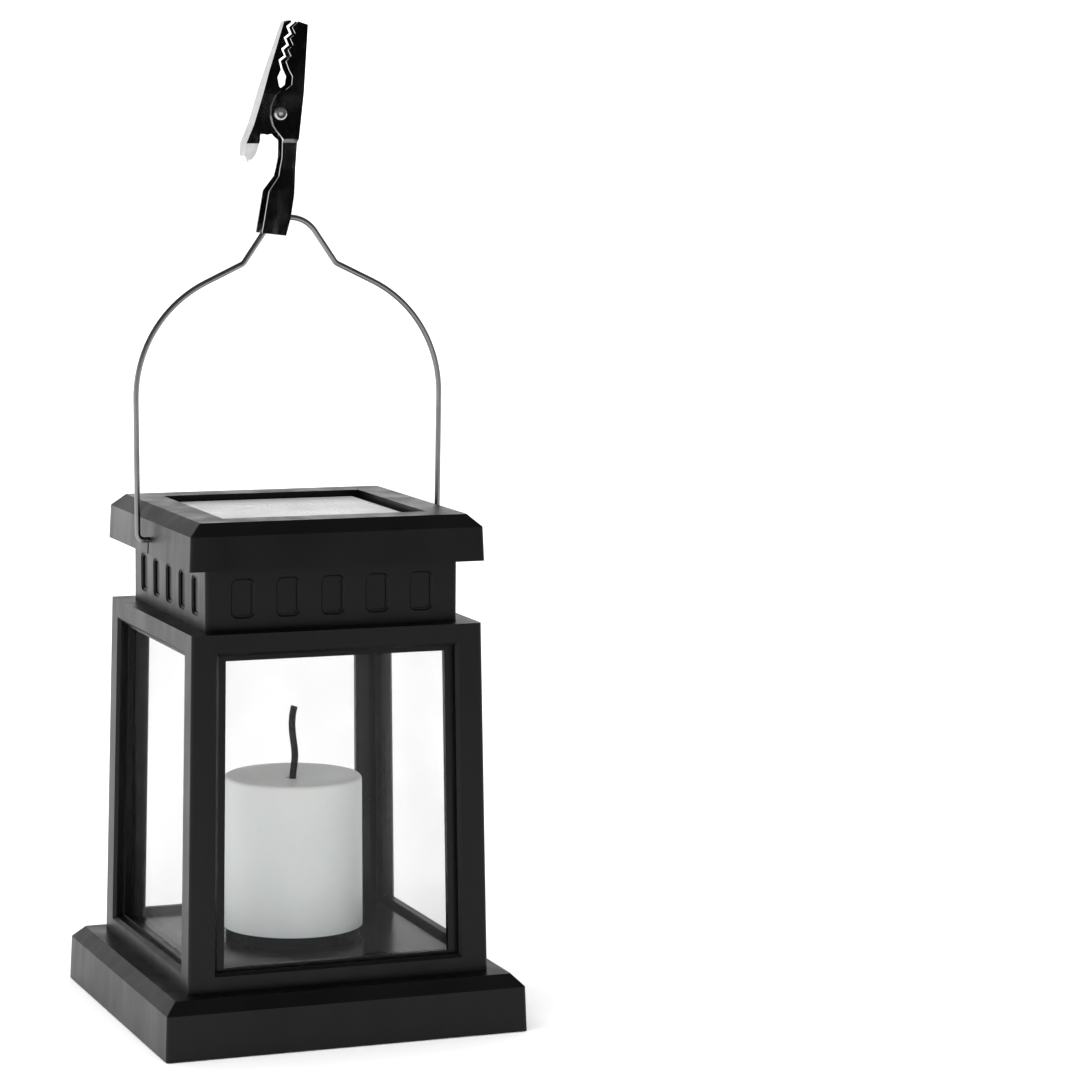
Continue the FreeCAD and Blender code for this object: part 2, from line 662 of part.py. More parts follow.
def make_battery_door():
    """The battery door, flush in the cover, with a foot that its screw holds."""
    body = new_body("battery_door")
    tub_half_x = D.cell_long / 2 + 2.9
    tub_half_y = D.cell_dia / 2 + 0.3
    gap = D.cover_gap
    plate = new_sketch(body, "XY_Plane", "door_outline")
    draw_box(plate, -tub_half_x - 1.0 + gap, tub_half_x + 7.0 - gap,
             D.cell_mid_y - tub_half_y - 1.0 + gap, D.cell_mid_y + tub_half_y + 1.0 - gap)
    pad(body, plate, 1.25, "door")
    hole = new_sketch(body, "XY_Plane", "door_hole_outline")
    draw_circle(hole, DOOR_SCREW_X, D.cell_mid_y, D.screw_head_dia + 0.3)
    cut(body, hole, 0.7, "door_head_seat", reverse=True)
    shank = new_sketch(body, "XY_Plane", "door_shank_outline")
    draw_circle(shank, DOOR_SCREW_X, D.cell_mid_y, screw_hole)
    cut(body, shank, 2.0, "door_shank_hole", reverse=True)
    grips = new_sketch(body, "XY_Plane", "door_grips_outline")
    for i in range(4):
        low = -16.0 + 2.4 * i
        draw_box(grips, low, low + 1.2, D.cell_mid_y - 3.5, D.cell_mid_y + 3.5)
    cut(body, grips, 0.5, "door_grips", reverse=True)
    finish(body, "battery_door")


def screw(name, low_z, length, across, along, points_up, head=None):
    """A pan-head screw on an upright axis, with a cross recess in its head."""
    head = D.screw_head if head is None else head
    head_low = low_z if points_up else low_z - head
    body = cylinder(name + "_head", D.screw_head_dia, head_low, head_low + head, across, along)
    shank_low = low_z + head if points_up else low_z - head - length
    shank = cylinder(name + "_shank", D.screw_dia, shank_low, shank_low + length, across, along)
    joined = fuse(name + "_solid", [body, shank])
    depth = 0.6
    bars = []
    for i, (wide, deep) in enumerate(((2.4, 0.5), (0.5, 2.4))):
        bar_low = low_z - (0.0 if points_up else depth)
        low = (across - wide / 2, along - deep / 2, bar_low)
        high = (across + wide / 2, along + deep / 2, bar_low + depth)
        bars.append(box(f"{name}_bar{i}", low, high))
    recess = fuse(name + "_recess", bars)
    return subtract(name + "_cut", joined, recess)


def make_screws():
    """The screws, each set in one sub-part."""
    covers = [
        screw(f"cover_screw{i}", 0.0, 6.0, x * COVER_SCREW_REACH, y * COVER_SCREW_REACH, True)
        for i, (x, y) in enumerate(CORNERS)
    ]
    finish(gather("cover_screw_set", covers), "cover_screws")
    cages = [
        screw(
            f"cage_screw{i}", base_hollow_z - D.screw_head, 4.6,
            x * CAGE_SCREW_REACH, y * CAGE_SCREW_REACH, True,
        )
        for i, (x, y) in enumerate(SIDES)
    ]
    finish(gather("cage_screw_set", cages), "cage_screws")
    ceiling_z = D.cage_top_z - D.cage_ceiling
    roofs = [
        screw(
            f"roof_screw{i}", ceiling_z - D.screw_head, 18.0,
            x * ROOF_SCREW_REACH, y * ROOF_SCREW_REACH, True,
        )
        for i, (x, y) in enumerate(CORNERS)
    ]
    finish(gather("roof_screw_set", roofs), "roof_screws")
    boards = [
        screw(
            f"board_screw{i}", D.board_foot_z + D.board_thick + D.screw_head, 4.6,
            side * BOARD_SCREW_X, float(D.board_mid_y) + BOARD_SCREW_Y, False,
        )
        for i, side in enumerate((-1, 1))
    ]
    finish(gather("board_screw_set", boards), "board_screws")
    door_head = D.screw_head / 2
    door = screw("door_screw", 0.0, 1.3, DOOR_SCREW_X, float(D.cell_mid_y), True, head=door_head)
    finish(door, "door_screw")


# --- Electrics in the foot ----------------------------------------------------------------------

def make_battery():
    """A rechargeable cell lying along X, its contact spring and its contact plate."""
    body = new_body("battery_cell")
    half = D.cell_long / 2
    button = 0.8
    profile = new_sketch(body, "XZ_Plane", "cell_profile", -D.cell_mid_y)
    radius = D.cell_dia / 2
    draw_polygon(profile, [
        (-half, D.cell_mid_z), (-half, D.cell_mid_z + radius), (half - button, D.cell_mid_z + radius),
        (half - button, D.cell_mid_z + 1.9), (half, D.cell_mid_z + 1.9), (half, D.cell_mid_z),
    ])
    turned = body.newObject("PartDesign::Revolution", "cell")
    turned.Profile = profile
    turned.ReferenceAxis = (profile, ["Edge6"])
    turned.Angle = 360
    doc.recompute()
    dress(
        body, "Fillet", 0.5, "cell_rounding",
        lambda e: e.BoundBox.XLength < 0.01 and e.BoundBox.ZLength > float(D.cell_dia) - 0.1,
    )
    finish(body, "battery_cell")

    turns, wire, start_radius, end_radius, length = 3.0, 0.6, 3.9, 2.2, 2.0
    helix = Part.makeHelix(length / turns, length, start_radius,
                           math.degrees(math.atan((end_radius - start_radius) / length)))
    ring = Part.Wire([Part.makeCircle(wire / 2, Vector(start_radius, 0, 0), Vector(0, 1, 0.05))])
    spring = Part.Wire(helix).makePipeShell([ring], True, True)
    foot = Vector(-float(D.cell_long) / 2 - length - wire / 2 - 0.1, float(D.cell_mid_y), float(D.cell_mid_z))
    place = Placement(foot, Rotation(Vector(0, 1, 0), 90))
    finish(shape_feature("battery_spring_shape", spring, place), "battery_spring")

    plate = new_body("battery_contact")
    outline = new_sketch(plate, "YZ_Plane", "contact_outline", half + 0.05)
    draw_box(outline, D.cell_mid_y - 4.5, D.cell_mid_y + 4.5, D.cell_mid_z - 4.2, D.cell_mid_z + 3.0)
    pad(plate, outline, 0.4, "contact")
    finish(plate, "battery_contact")


def make_board():
    """The circuit board with its driver chip and boost coil."""
    board = new_body("circuit_board")
    outline = new_sketch(board, "XY_Plane", "board_outline", D.board_foot_z)
    low_y = D.board_mid_y - D.board_half_y
    high_y = D.board_mid_y + D.board_half_y
    draw_box(outline, -D.board_half_x, D.board_half_x, low_y, high_y)
    for side in (-1, 1):
        draw_circle(outline, side * BOARD_SCREW_X, D.board_mid_y + BOARD_SCREW_Y, screw_hole)
    pad(board, outline, D.board_thick, "board")
    finish(board, "circuit_board")

    top = D.board_foot_z + D.board_thick
    chip = box("chip_case", (-2.6, float(D.board_mid_y) - 2.0, top + 0.2),
               (2.6, float(D.board_mid_y) + 2.0, top + 1.7))
    legs = []
    for i in range(4):
        for j, side in enumerate((-1, 1)):
            x = -1.9 + 1.27 * i
            edge = float(D.board_mid_y) + side * 2.0
            low = (x - 0.2, min(edge - side * 0.3, edge + side * 1.0), top)
            high = (x + 0.2, max(edge - side * 0.3, edge + side * 1.0), top + 0.45)
            legs.append(box(f"chip_leg{i}_{j}", low, high))
    finish(fuse("chip_solid", [chip] + legs), "driver_chip")

    coil_x, coil_y = 10.0, float(D.board_mid_y) + 2.0
    core = cylinder("coil_core", 5.0, top, top + 3.4, coil_x, coil_y)
    groove_outer = cylinder("coil_groove_outer", 6.0, top + 0.8, top + 2.6, coil_x, coil_y)
    groove_inner = cylinder("coil_groove_inner", 3.6, top + 0.8, top + 2.6, coil_x, coil_y)
    groove = subtract("coil_groove", groove_outer, groove_inner)
    finish(subtract("coil_solid", core, groove), "boost_coil")


def make_switch():
    """The slide switch under the board, and its knob in the cover's dish."""
    case = box("switch_case", (-5.2, float(D.switch_mid_y) - 2.2, Size(SWITCH_SHELF_Z, str(SWITCH_SHELF_Z))),
               (5.2, float(D.switch_mid_y) + 2.2, D.board_foot_z))
    way = box("switch_way", (-3.1, float(D.switch_mid_y) - 1.2, 3.0), (3.1, float(D.switch_mid_y) + 1.2, 5.2))
    finish(subtract("switch_case_open", case, way), "switch_body")

    travel = float(D.switch_travel)
    stem_half = 1.2
    rest_x = -travel / 2
    y = float(D.switch_mid_y)
    carrier = box("knob_carrier", (rest_x - 1.7, y - 1.1, 3.95), (rest_x + 1.7, y + 1.1, 5.1))
    stem = box("knob_stem", (rest_x - stem_half, y - 1.0, 0.7), (rest_x + stem_half, y + 1.0, 4.5))
    joined = fuse("knob_block", [carrier, stem])
    notches = []
    for i in range(3):
        low_x = rest_x - 0.95 + 0.7 * i
        notches.append(box(f"knob_notch{i}", (low_x, y - 1.2, 0.6), (low_x + 0.3, y + 1.2, 1.1)))
    finish(subtract("knob_solid", joined, fuse("knob_notches", notches)), "switch_knob")


# --- Lamp room ----------------------------------------------------------------------------------

def make_cage_frame():
    """The tapered frame: four posts, two rails a side and the plate under the neck."""
    body = new_body("cage_frame")
    leaning_block(body, D.cage_foot_half, D.base_top_z, cage_slope, D.cage_top_z, "frame")
    dress(
        body, "Fillet", D.corner_round, "frame_corners",
        lambda e: is_corner_edge(e, float(D.base_top_z), float(D.cage_top_z), 30.0),
    )
    hollow = new_sketch(body, "XY_Plane", "frame_hollow_outline")
    hollow_half = cage_half_at(Size(0.0, "0"), D.cage_wall)
    draw_box(hollow, -hollow_half, hollow_half, -hollow_half, hollow_half)
    cut(body, hollow, D.cage_top_z - D.cage_ceiling, "frame_hollow", reverse=True)
    lean_in(body, cage_slope, "frame_hollow_lean", float(D.cage_foot_half) - 2.0, inside=True)
    hole = new_sketch(body, "XY_Plane", "ceiling_hole_outline", D.cage_top_z)
    draw_box(hole, -D.ceiling_hole_half, D.ceiling_hole_half, -D.ceiling_hole_half, D.ceiling_hole_half)
    for x, y in CORNERS:
        draw_circle(hole, x * ROOF_SCREW_REACH, y * ROOF_SCREW_REACH, screw_hole)
    cut(body, hole, D.cage_ceiling + 0.5, "ceiling_hole")
    corner = new_sketch(body, "XY_Plane", "lead_way_outline", D.base_top_z - 0.5)
    draw_box(corner, -D.lead_way_far, -D.lead_way_near, D.lead_way_near, D.lead_way_far)
    cut(body, corner, D.cage_top_z - D.base_top_z - D.cage_ceiling + 0.5, "lead_way", reverse=True)
    turn = new_sketch(body, "XY_Plane", "lead_turn_outline", D.head_z + 0.1)
    draw_box(turn, -D.lead_way_far, -D.lead_turn_near, D.lead_turn_near, D.lead_way_far)
    cut(body, turn, D.cage_top_z - D.cage_ceiling - D.head_z - 0.1, "lead_turn", reverse=True)
    pilots = new_sketch(body, "XY_Plane", "rail_pilots_outline", D.base_top_z)
    for x, y in SIDES:
        draw_circle(pilots, x * CAGE_SCREW_REACH, y * CAGE_SCREW_REACH, screw_hole)
    cut(body, pilots, 3.0, "rail_pilots", reverse=True)
    face_offset = D.cage_foot_half + cage_slope * D.base_top_z
    opening = new_sketch(body, "XZ_Plane", "opening_outline", face_offset, cage_lean)
    draw_polygon(opening, [
        (-D.window_foot_half, D.sill_z), (D.window_foot_half, D.sill_z),
        (D.window_head_half, D.head_z), (-D.window_head_half, D.head_z),
    ])
    reveal = cut(body, opening, D.reveal, "opening")
    lip = new_sketch(body, "XZ_Plane", "lip_outline", face_offset, cage_lean)
    draw_polygon(lip, [
        (-D.lip_foot_half, D.lip_sill_z), (D.lip_foot_half, D.lip_sill_z),
        (D.lip_head_half, D.lip_head_z), (-D.lip_head_half, D.lip_head_z),
    ])
    through = cut(body, lip, D.cage_wall + 1.5, "lip")
    pattern(body, [reveal, through], 4, "openings")
    dress(body, "Chamfer", D.reveal_bevel, "opening_bevels", is_opening_edge)
    finish(body, "cage_frame")


def is_opening_edge(edge):
    """True for the edges of the window openings on the frame's four faces."""
    middle = edge.BoundBox.Center
    reach = max(abs(middle.x), abs(middle.y))
    beside = min(abs(middle.x), abs(middle.y))
    face = float(cage_half_at(middle.z))
    inside = float(D.sill_z) - 0.5 < middle.z < float(D.head_z) + 0.5
    in_window = inside and beside < float(D.window_foot_half) + 0.1
    return abs(reach - face) < 0.06 and in_window and edge.Length > 5


def make_windows():
    """Four clear panes that stand on the foot's deck behind the frame's lips."""
    places = (("front", 0, 0.0), ("right", 90, 1.25), ("back", 180, 0.0), ("left", 270, 1.25))
    for label, turn, narrower in places:
        body = new_body("window_" + label)
        offset = D.cage_foot_half + cage_slope * D.base_top_z - D.cage_wall - D.pane_gap
        outline = new_sketch(body, "XZ_Plane", f"pane_{label}_outline", offset, cage_lean)
        foot, head = D.pane_half - narrower, D.pane_half - D.pane_taper - narrower
        draw_polygon(outline, [
            (-foot, D.pane_foot_z), (foot, D.pane_foot_z), (head, D.pane_head_z), (-head, D.pane_head_z),
        ])
        pad(body, outline, D.pane, f"pane_{label}", reverse=True)
        body.Placement = Placement(Vector(), Rotation(Vector(0, 0, 1), turn))
        finish(body, "window_" + label)


def make_candle():
    """The hollow candle with its dished top, the bent wick and the disc under it."""
    body = new_body("candle_shell")
    profile = new_sketch(body, "XZ_Plane", "candle_profile")
    inner_foot = D.candle_foot_radius - D.candle_wall
    inner_top = D.candle_top_radius - D.candle_wall
    inner_z = D.candle_top_z - D.candle_wall - D.candle_dish
    draw_polygon(profile, [
        (inner_foot, D.candle_foot_z), (D.candle_foot_radius, D.candle_foot_z),
        (D.candle_top_radius, D.candle_top_z), (D.candle_top_radius - 3.2, D.candle_top_z),
        (D.wick_hole_dia, D.candle_top_z - D.candle_dish),
        (D.wick_hole_dia / 2, D.candle_top_z - D.candle_dish),
        (D.wick_dia / 2 + D.screw_slack, D.candle_top_z - D.candle_dish - 0.6),
        (D.wick_dia / 2 + D.screw_slack, inner_z), (inner_top, inner_z),
    ])
    turned = body.newObject("PartDesign::Revolution", "candle")
    turned.Profile = profile
    turned.ReferenceAxis = (profile, ["V_Axis"])
    turned.Angle = 360
    doc.recompute()
    top = float(D.candle_top_z)
    radius = float(D.candle_top_radius)
    dress(body, "Fillet", D.candle_round, "candle_rounding", lambda e: is_ring(e, top, radius))
    finish(body, "candle_shell")

    wick = new_body("candle_wick")
    route = new_sketch(wick, "XZ_Plane", "wick_route")
    low = float(D.candle_top_z) - float(D.candle_dish) - float(D.candle_wall) + 0.2
    wick_points = [
        Vector(0.0, low), Vector(0.0, low + 0.9), Vector(0.16, 51.8), Vector(0.44, 53.8), Vector(0.5, 56.0),
        Vector(0.15, 58.8), Vector(-0.12, 61.6), Vector(0.0, 64.2), Vector(0.4, 66.1),
    ]
    spline = Part.BSplineCurve()
    spline.interpolate(wick_points)
    route.addGeometry(spline, False)
    section = new_sketch(wick, "XY_Plane", "wick_section", low)
    draw_circle(section, 0.0, 0.0, D.wick_dia)
    pipe = wick.newObject("PartDesign::AdditivePipe", "wick")
    pipe.Profile = section
    pipe.Spine = route
    doc.recompute()
    finish(wick, "candle_wick")

    holder = new_body("candle_holder")
    disc = new_sketch(holder, "XY_Plane", "holder_outline", D.floor_z + 0.02)
    draw_circle(disc, 0.0, 0.0, 2 * D.holder_radius)
    pad(holder, disc, D.candle_foot_z - D.floor_z - 0.04, "holder")
    spigot = new_sketch(holder, "XY_Plane", "spigot_outline", D.candle_foot_z - 0.3)
    draw_circle(spigot, 0.0, 0.0, 2 * (D.candle_foot_radius - D.candle_wall) - 0.4)
    pad(holder, spigot, 2.0, "spigot")
    lugs = new_sketch(holder, "XY_Plane", "lugs_outline", D.floor_z + 0.02)
    for i in range(4):
        angle = math.radians(27 + 90 * i)
        reach = float(D.holder_radius) - 0.6
        draw_circle(lugs, reach * math.cos(angle), reach * math.sin(angle), 2 * D.lug_radius)
    pad(holder, lugs, D.candle_foot_z - D.floor_z - 0.6, "lugs")
    way = new_sketch(holder, "XY_Plane", "holder_led_way", D.candle_foot_z + 2.5)
    draw_box(way, -2.4, 2.4, -1.2, 1.2)
    cut(holder, way, 6.0, "led_way")
    finish(holder, "candle_holder")


def is_ring(edge, height, radius):
    """True for the full circle of that radius at that height."""
    box_ = edge.BoundBox
    return abs(box_.ZMin - height) < 0.01 and box_.ZLength < 0.01 and abs(box_.XLength / 2 - radius) < 0.02


def make_led():
    """The lamp: a domed bulb with a flange, and its two legs down to the board."""
    body = new_body("led_bulb")
    profile = new_sketch(body, "XZ_Plane", "led_profile")
    radius = D.led_dia / 2
    draw_polygon(profile, [
        (0.0, D.led_foot_z), (radius + 0.4, D.led_foot_z), (radius + 0.4, D.led_foot_z + 1.0),
        (radius, D.led_foot_z + 1.0), (radius, D.led_foot_z + 8.2), (0.0, D.led_foot_z + 8.2),
    ])
    turned = body.newObject("PartDesign::Revolution", "led")
    turned.Profile = profile
    turned.ReferenceAxis = (profile, ["V_Axis"])
    turned.Angle = 360
    doc.recompute()
    top = float(D.led_foot_z) + 8.2
    dress(body, "Fillet", 2.3, "led_dome", lambda e: is_ring(e, top, float(D.led_dia) / 2))
    finish(body, "led_bulb")

    board_top = float(D.board_foot_z) + float(D.board_thick)
    legs = []
    for side in (-1, 1):
        x = side * 1.27
        points = [
            Vector(x, 0, float(D.led_foot_z) - 0.02),
            Vector(x, 0, 11.6),
            Vector(x, -9.2, 11.6),
            Vector(x, -9.2, board_top + 0.02),
        ]
        legs.append(shape_feature(f"led_leg{(side + 1) // 2}", lead_solid(points, (1.6, 1.2), 0.5)))
    finish(gather("led_leg_pair", legs), "led_leads")


# --- Neck and lid -------------------------------------------------------------------------------

def make_neck():
    """The neck: an open box with five stepped blind slots on each face."""
    body = new_body("neck_housing")
    outer = new_sketch(body, "XY_Plane", "neck_outline", D.cage_top_z)
    draw_box(outer, -D.neck_half, D.neck_half, -D.neck_half, D.neck_half)
    pad(body, outer, D.neck_top_z - D.cage_top_z, "neck")
    dress(
        body, "Fillet", D.corner_round, "neck_corners",
        lambda e: is_corner_edge(e, float(D.cage_top_z), float(D.neck_top_z), 27.0),
    )
    inner = new_sketch(body, "XY_Plane", "neck_hollow_outline", D.neck_top_z)
    hollow = D.neck_half - D.neck_wall
    draw_box(inner, -hollow, hollow, -hollow, hollow)
    cut(body, inner, D.neck_top_z - D.cage_top_z - D.neck_floor, "neck_hollow")
    bosses = new_sketch(body, "XY_Plane", "neck_boss_outline", D.cage_top_z + 0.5)
    for x, y in CORNERS:
        draw_circle(bosses, x * ROOF_SCREW_REACH, y * ROOF_SCREW_REACH, BOSS_DIA)
    pad(body, bosses, 9.0, "neck_bosses")
    holes = new_sketch(body, "XY_Plane", "neck_holes_outline", D.neck_top_z)
    for x, y in CORNERS:
        draw_circle(holes, x * ROOF_SCREW_REACH, y * ROOF_SCREW_REACH, screw_hole)
    draw_circle(holes, *LEAD_HOLE, LEAD_HOLE_DIA)
    cut(body, holes, D.neck_top_z - D.cage_top_z + 1.0, "neck_holes")
    steps = new_sketch(body, "XZ_Plane", "slot_steps_outline", D.neck_half)
    for i in range(5):
        draw_rounded(steps, D.slot_pitch * (i - 2), D.slot_mid_z, D.slot_wide, D.slot_tall, D.slot_round)
    step = cut(body, steps, D.slot_step, "slot_steps")
    bind(step, "TaperAngle", D.slot_slope * -1)
    doc.recompute()
    floors = new_sketch(body, "XZ_Plane", "slot_floors_outline", D.neck_half)
    for i in range(5):
        draw_rounded(
            floors, D.slot_pitch * (i - 2), D.slot_mid_z,
            D.slot_wide - 2 * D.slot_rim, D.slot_tall - 2 * D.slot_rim, D.slot_round - D.slot_rim,
        )
    floor = cut(body, floors, D.slot_deep, "slot_floors")
    pattern(body, [step, floor], 4, "slots")
    finish(body, "neck_housing")


def make_roof_cap():
    """The lid: a bevelled plate with the panel's recess, a skirt, and the bail's keyholes."""
    body = new_body("roof_cap")
    tapered_pad(body, D.lid_half, D.lid_foot_z, D.lid_brow_half, D.lid_brow_z, "lid")
    tapered_pad(body, D.lid_brow_half, D.lid_brow_z, D.lid_top_half, D.lid_top_z, "lid_bevel")
    dress(
        body, "Fillet", D.corner_round, "lid_corners",
        lambda e: is_corner_edge(e, float(D.lid_foot_z), float(D.lid_top_z), 27.0),
    )
    hollow = new_sketch(body, "XY_Plane", "lid_hollow_outline", D.lid_foot_z)
    inside = D.lid_brow_half - D.lid_wall
    draw_box(hollow, -inside, inside, -inside, inside)
    cut(body, hollow, D.lid_ceiling_z - D.lid_foot_z, "lid_hollow", reverse=True)
    recess = new_sketch(body, "XY_Plane", "recess_outline", D.lid_top_z)
    draw_box(recess, -D.recess_half, D.recess_half, -D.recess_half, D.recess_half)
    cut(body, recess, D.lid_top_z - D.recess_floor_z, "recess")
    bosses = new_sketch(body, "XY_Plane", "lid_boss_outline", D.lid_ceiling_z + 0.5)
    for x, y in CORNERS:
        draw_circle(bosses, x * ROOF_SCREW_REACH, y * ROOF_SCREW_REACH, BOSS_DIA)
    pad(body, bosses, 7.6, "lid_bosses", reverse=True)
    pilots = new_sketch(body, "XY_Plane", "lid_pilot_outline", D.lid_foot_z - 3.0)
    for x, y in CORNERS:
        draw_circle(pilots, x * ROOF_SCREW_REACH, y * ROOF_SCREW_REACH, screw_hole)
    cut(body, pilots, 7.0, "lid_pilots", reverse=True)
    leads = new_sketch(body, "XY_Plane", "panel_lead_outline", D.recess_floor_z + 0.5)
    for x in PANEL_LEAD_X:
        draw_circle(leads, x, PANEL_LEAD_Y, 1.3)
    cut(body, leads, D.recess_floor_z - D.lid_ceiling_z + 1.0, "panel_lead_holes")
    keyholes = new_sketch(body, "YZ_Plane", "keyhole_outline", -D.lid_half - 1.0)
    draw_circle(keyholes, 0.0, D.bail_pivot_z, D.bail_hole_dia)
    cut(body, keyholes, 2 * D.lid_half + 2.0, "pivot_holes", reverse=True)
    slots = new_sketch(body, "YZ_Plane", "keyhole_slot_outline", -D.lid_half - 1.0)
    draw_box(slots, -D.bail_slot / 2, D.bail_slot / 2, D.lid_foot_z - 0.5, D.bail_pivot_z)
    cut(body, slots, 2 * D.lid_half + 2.0, "keyhole_slots", reverse=True)
    finish(body, "roof_cap")


def make_panel():
    """The solar panel: backing board, four cell strips, clear top sheet and dark border."""
    board = new_body("solar_board")
    outline = new_sketch(board, "XY_Plane", "panel_board_outline", D.recess_floor_z + 0.02)
    draw_box(outline, -D.panel_half, D.panel_half, -D.panel_half, D.panel_half)
    pad(board, outline, D.panel_board, "panel_board")
    finish(board, "solar_board")

    board_top = D.recess_floor_z + 0.02 + D.panel_board
    inset = 1.2
    strip = (2 * (D.panel_half - inset) - 3 * D.cell_gap) / 4
    strips = []
    for i in range(4):
        low_x = inset - D.panel_half + i * (strip + D.cell_gap)
        low = (low_x, inset - D.panel_half, board_top)
        high = (low_x + strip, D.panel_half - inset, board_top + D.cell_sheet)
        strips.append(box(f"cell_strip{i}", low, high))
    finish(gather("cell_strips", strips), "solar_cells")

    cover = new_body("solar_cover")
    cover_z = board_top + D.cell_sheet
    sheet = new_sketch(cover, "XY_Plane", "panel_cover_outline", cover_z)
    draw_box(sheet, -D.panel_half, D.panel_half, -D.panel_half, D.panel_half)
    pad(cover, sheet, D.panel_top_z - cover_z, "panel_cover")
    dress(body=cover, kind="Fillet", size=0.25, name="cover_edges",
          wanted=lambda e: abs(e.BoundBox.ZMin - float(D.panel_top_z)) < 1e-3)
    finish(cover, "solar_cover")

    gasket = new_body("panel_gasket")
    ring = new_sketch(gasket, "XY_Plane", "gasket_outline", D.recess_floor_z + 0.02)
    outer = D.recess_half - D.gasket_gap
    inner = D.panel_half + D.gasket_gap
    draw_box(ring, -outer, outer, -outer, outer)
    draw_box(ring, -inner, inner, -inner, inner)
    pad(gasket, ring, D.gasket_top_z - D.recess_floor_z - 0.02, "gasket")
    finish(gasket, "panel_gasket")

    tabs = []
    for i, x in enumerate(PANEL_LEAD_X):
        bead = doc.addObject("Part::Sphere", f"solder_bead{i}")
        bead.Radius = 0.75
        bead.Placement.Base = Vector(x, PANEL_LEAD_Y, float(D.panel_top_z) - 0.25)
        low = (x - 1, PANEL_LEAD_Y - 1, D.panel_top_z - 3.0)
        high = (x + 1, PANEL_LEAD_Y + 1, D.panel_top_z)
        tabs.append(subtract(f"solder_tab{i}", bead, box(f"solder_floor{i}", low, high)))
    finish(gather("solder_tab_pair", tabs), "solder_tabs")


def make_solar_leads():
    """The panel's two leads: through the lid and the neck, down the back left post, and in to the board."""
    board_top = float(D.board_foot_z) + float(D.board_thick)
    under_ceiling = float(D.cage_top_z) - 3.78
    under_deck = float(base_hollow_z) - 2.2
    run_in = float(cage_slope) * (under_ceiling - under_deck)
    for i, label in enumerate(("red", "black")):
        side = 2 * i - 1
        panel_x = PANEL_LEAD_X[i]
        hole = Vector(LEAD_HOLE[0] + 0.6 * side, LEAD_HOLE[1] + 0.6 * side, 0)
        post = Vector(LEAD_POST[0] + 0.55 * side, LEAD_POST[1] + 0.55 * side, under_deck)
        end = Vector(-15.4, -12.25 + 1.25 * side, board_top + 2.1)
        points = [
            Vector(panel_x, PANEL_LEAD_Y, float(D.recess_floor_z) - 0.02),
            Vector(panel_x, PANEL_LEAD_Y, 97.0),
            Vector(hole.x, hole.y, 94.0),
            Vector(hole.x, hole.y, under_ceiling),
            post + Vector(run_in, -run_in, under_ceiling - under_deck),
            post,
            Vector(post.x, end.y + 5.0, under_deck),
            Vector(-20.0, end.y, end.z),
            end,
            Vector(end.x, end.y, board_top + 0.02),
        ]
        radii = (3.0, 3.0, 1.5, 1.5, 1.5, 4.0, 4.0, 1.0)
        lead = shape_feature(f"solar_lead_{label}_shape", lead_solid(points, radii, LEAD_DIA))
        finish(lead, "solar_lead_" + label)


def make_battery_leads():
    """Short leads from the battery's two contacts to the board."""
    board_top = float(D.board_foot_z) + float(D.board_thick)
    top = float(D.cell_mid_z) + 3.2
    for label, side in (("red", 1), ("black", -1)):
        x = side * (float(D.cell_long) / 2 + (0.95 if side > 0 else 1.6))
        points = [
            Vector(x, float(D.cell_mid_y) - 2.0, top - (1.2 if side > 0 else -0.6)),
            Vector(x, float(D.cell_mid_y) - 2.0, 12.6),
            Vector(x, float(D.cell_mid_y) - 9.5, 12.6),
            Vector(side * 15.2, -8.6, 12.0),
            Vector(side * 15.2, -8.6, board_top + 0.02),
        ]
        finish(shape_feature(f"battery_lead_{label}_shape", lead_solid(points, (0.55, 3.0, 1.5), LEAD_DIA)),
               "battery_lead_" + label)


# --- Bail and clip ------------------------------------------------------------------------------

def bail_side(side):
    """The corners and bend radii of one half of the bail, from its bent-in end to the crown's start."""
    turn = math.radians(float(D.bail_shoulder_turn))
    radius = float(D.bail_shoulder)
    leg, leg_top = float(D.bail_leg_half), float(D.bail_leg_top_z)
    reach = radius * math.tan(turn / 2)
    shoulder = Vector(leg, 0, leg_top + reach)
    slope = Vector(-math.sin(turn), 0, math.cos(turn))
    kink = shoulder + slope * ((float(D.bail_kink_half) - leg) / slope.x)
    centre = Vector(0, 0, float(D.crown_z) - float(D.crown_radius))
    away = centre - kink
    tilt = math.asin(float(D.crown_radius) / away.Length)
    rise = math.atan2(away.z, -away.x)
    heading = rise + tilt
    apex_drop = float(D.crown_z) - kink.z
    crown_corner = Vector(kink.x - apex_drop / math.tan(heading), 0, float(D.crown_z))
    corners = [
        Vector(float(D.bail_end_half), 0, float(D.bail_pivot_z)),
        Vector(float(D.bail_foot_half), 0, float(D.bail_pivot_z)),
        shoulder,
        kink,
        crown_corner,
    ]
    shift = float(D.bail_side_play)
    return [Vector(side * c.x + shift, 0, c.z) for c in corners]


def make_bail():
    """The bail: one wire bent in at both ends, up over two shoulders to a small crown."""
    left, right = bail_side(-1), bail_side(1)
    points = left + right[::-1]
    small, shoulder, crown = float(D.bail_bend), float(D.bail_shoulder), float(D.crown_radius)
    radii = (small - 0.2, shoulder, small, crown, crown, small, shoulder, small - 0.2)
    solid = lead_solid(points, radii, float(D.wire_dia))
    ends = [e for e in solid.Edges if abs(abs(e.BoundBox.Center.x - float(D.bail_side_play))
                                          - float(D.bail_end_half)) < 0.01 and e.BoundBox.XLength < 0.01]
    finish(shape_feature("bail_shape", solid.makeFillet(0.2, ends)), "bail_handle")


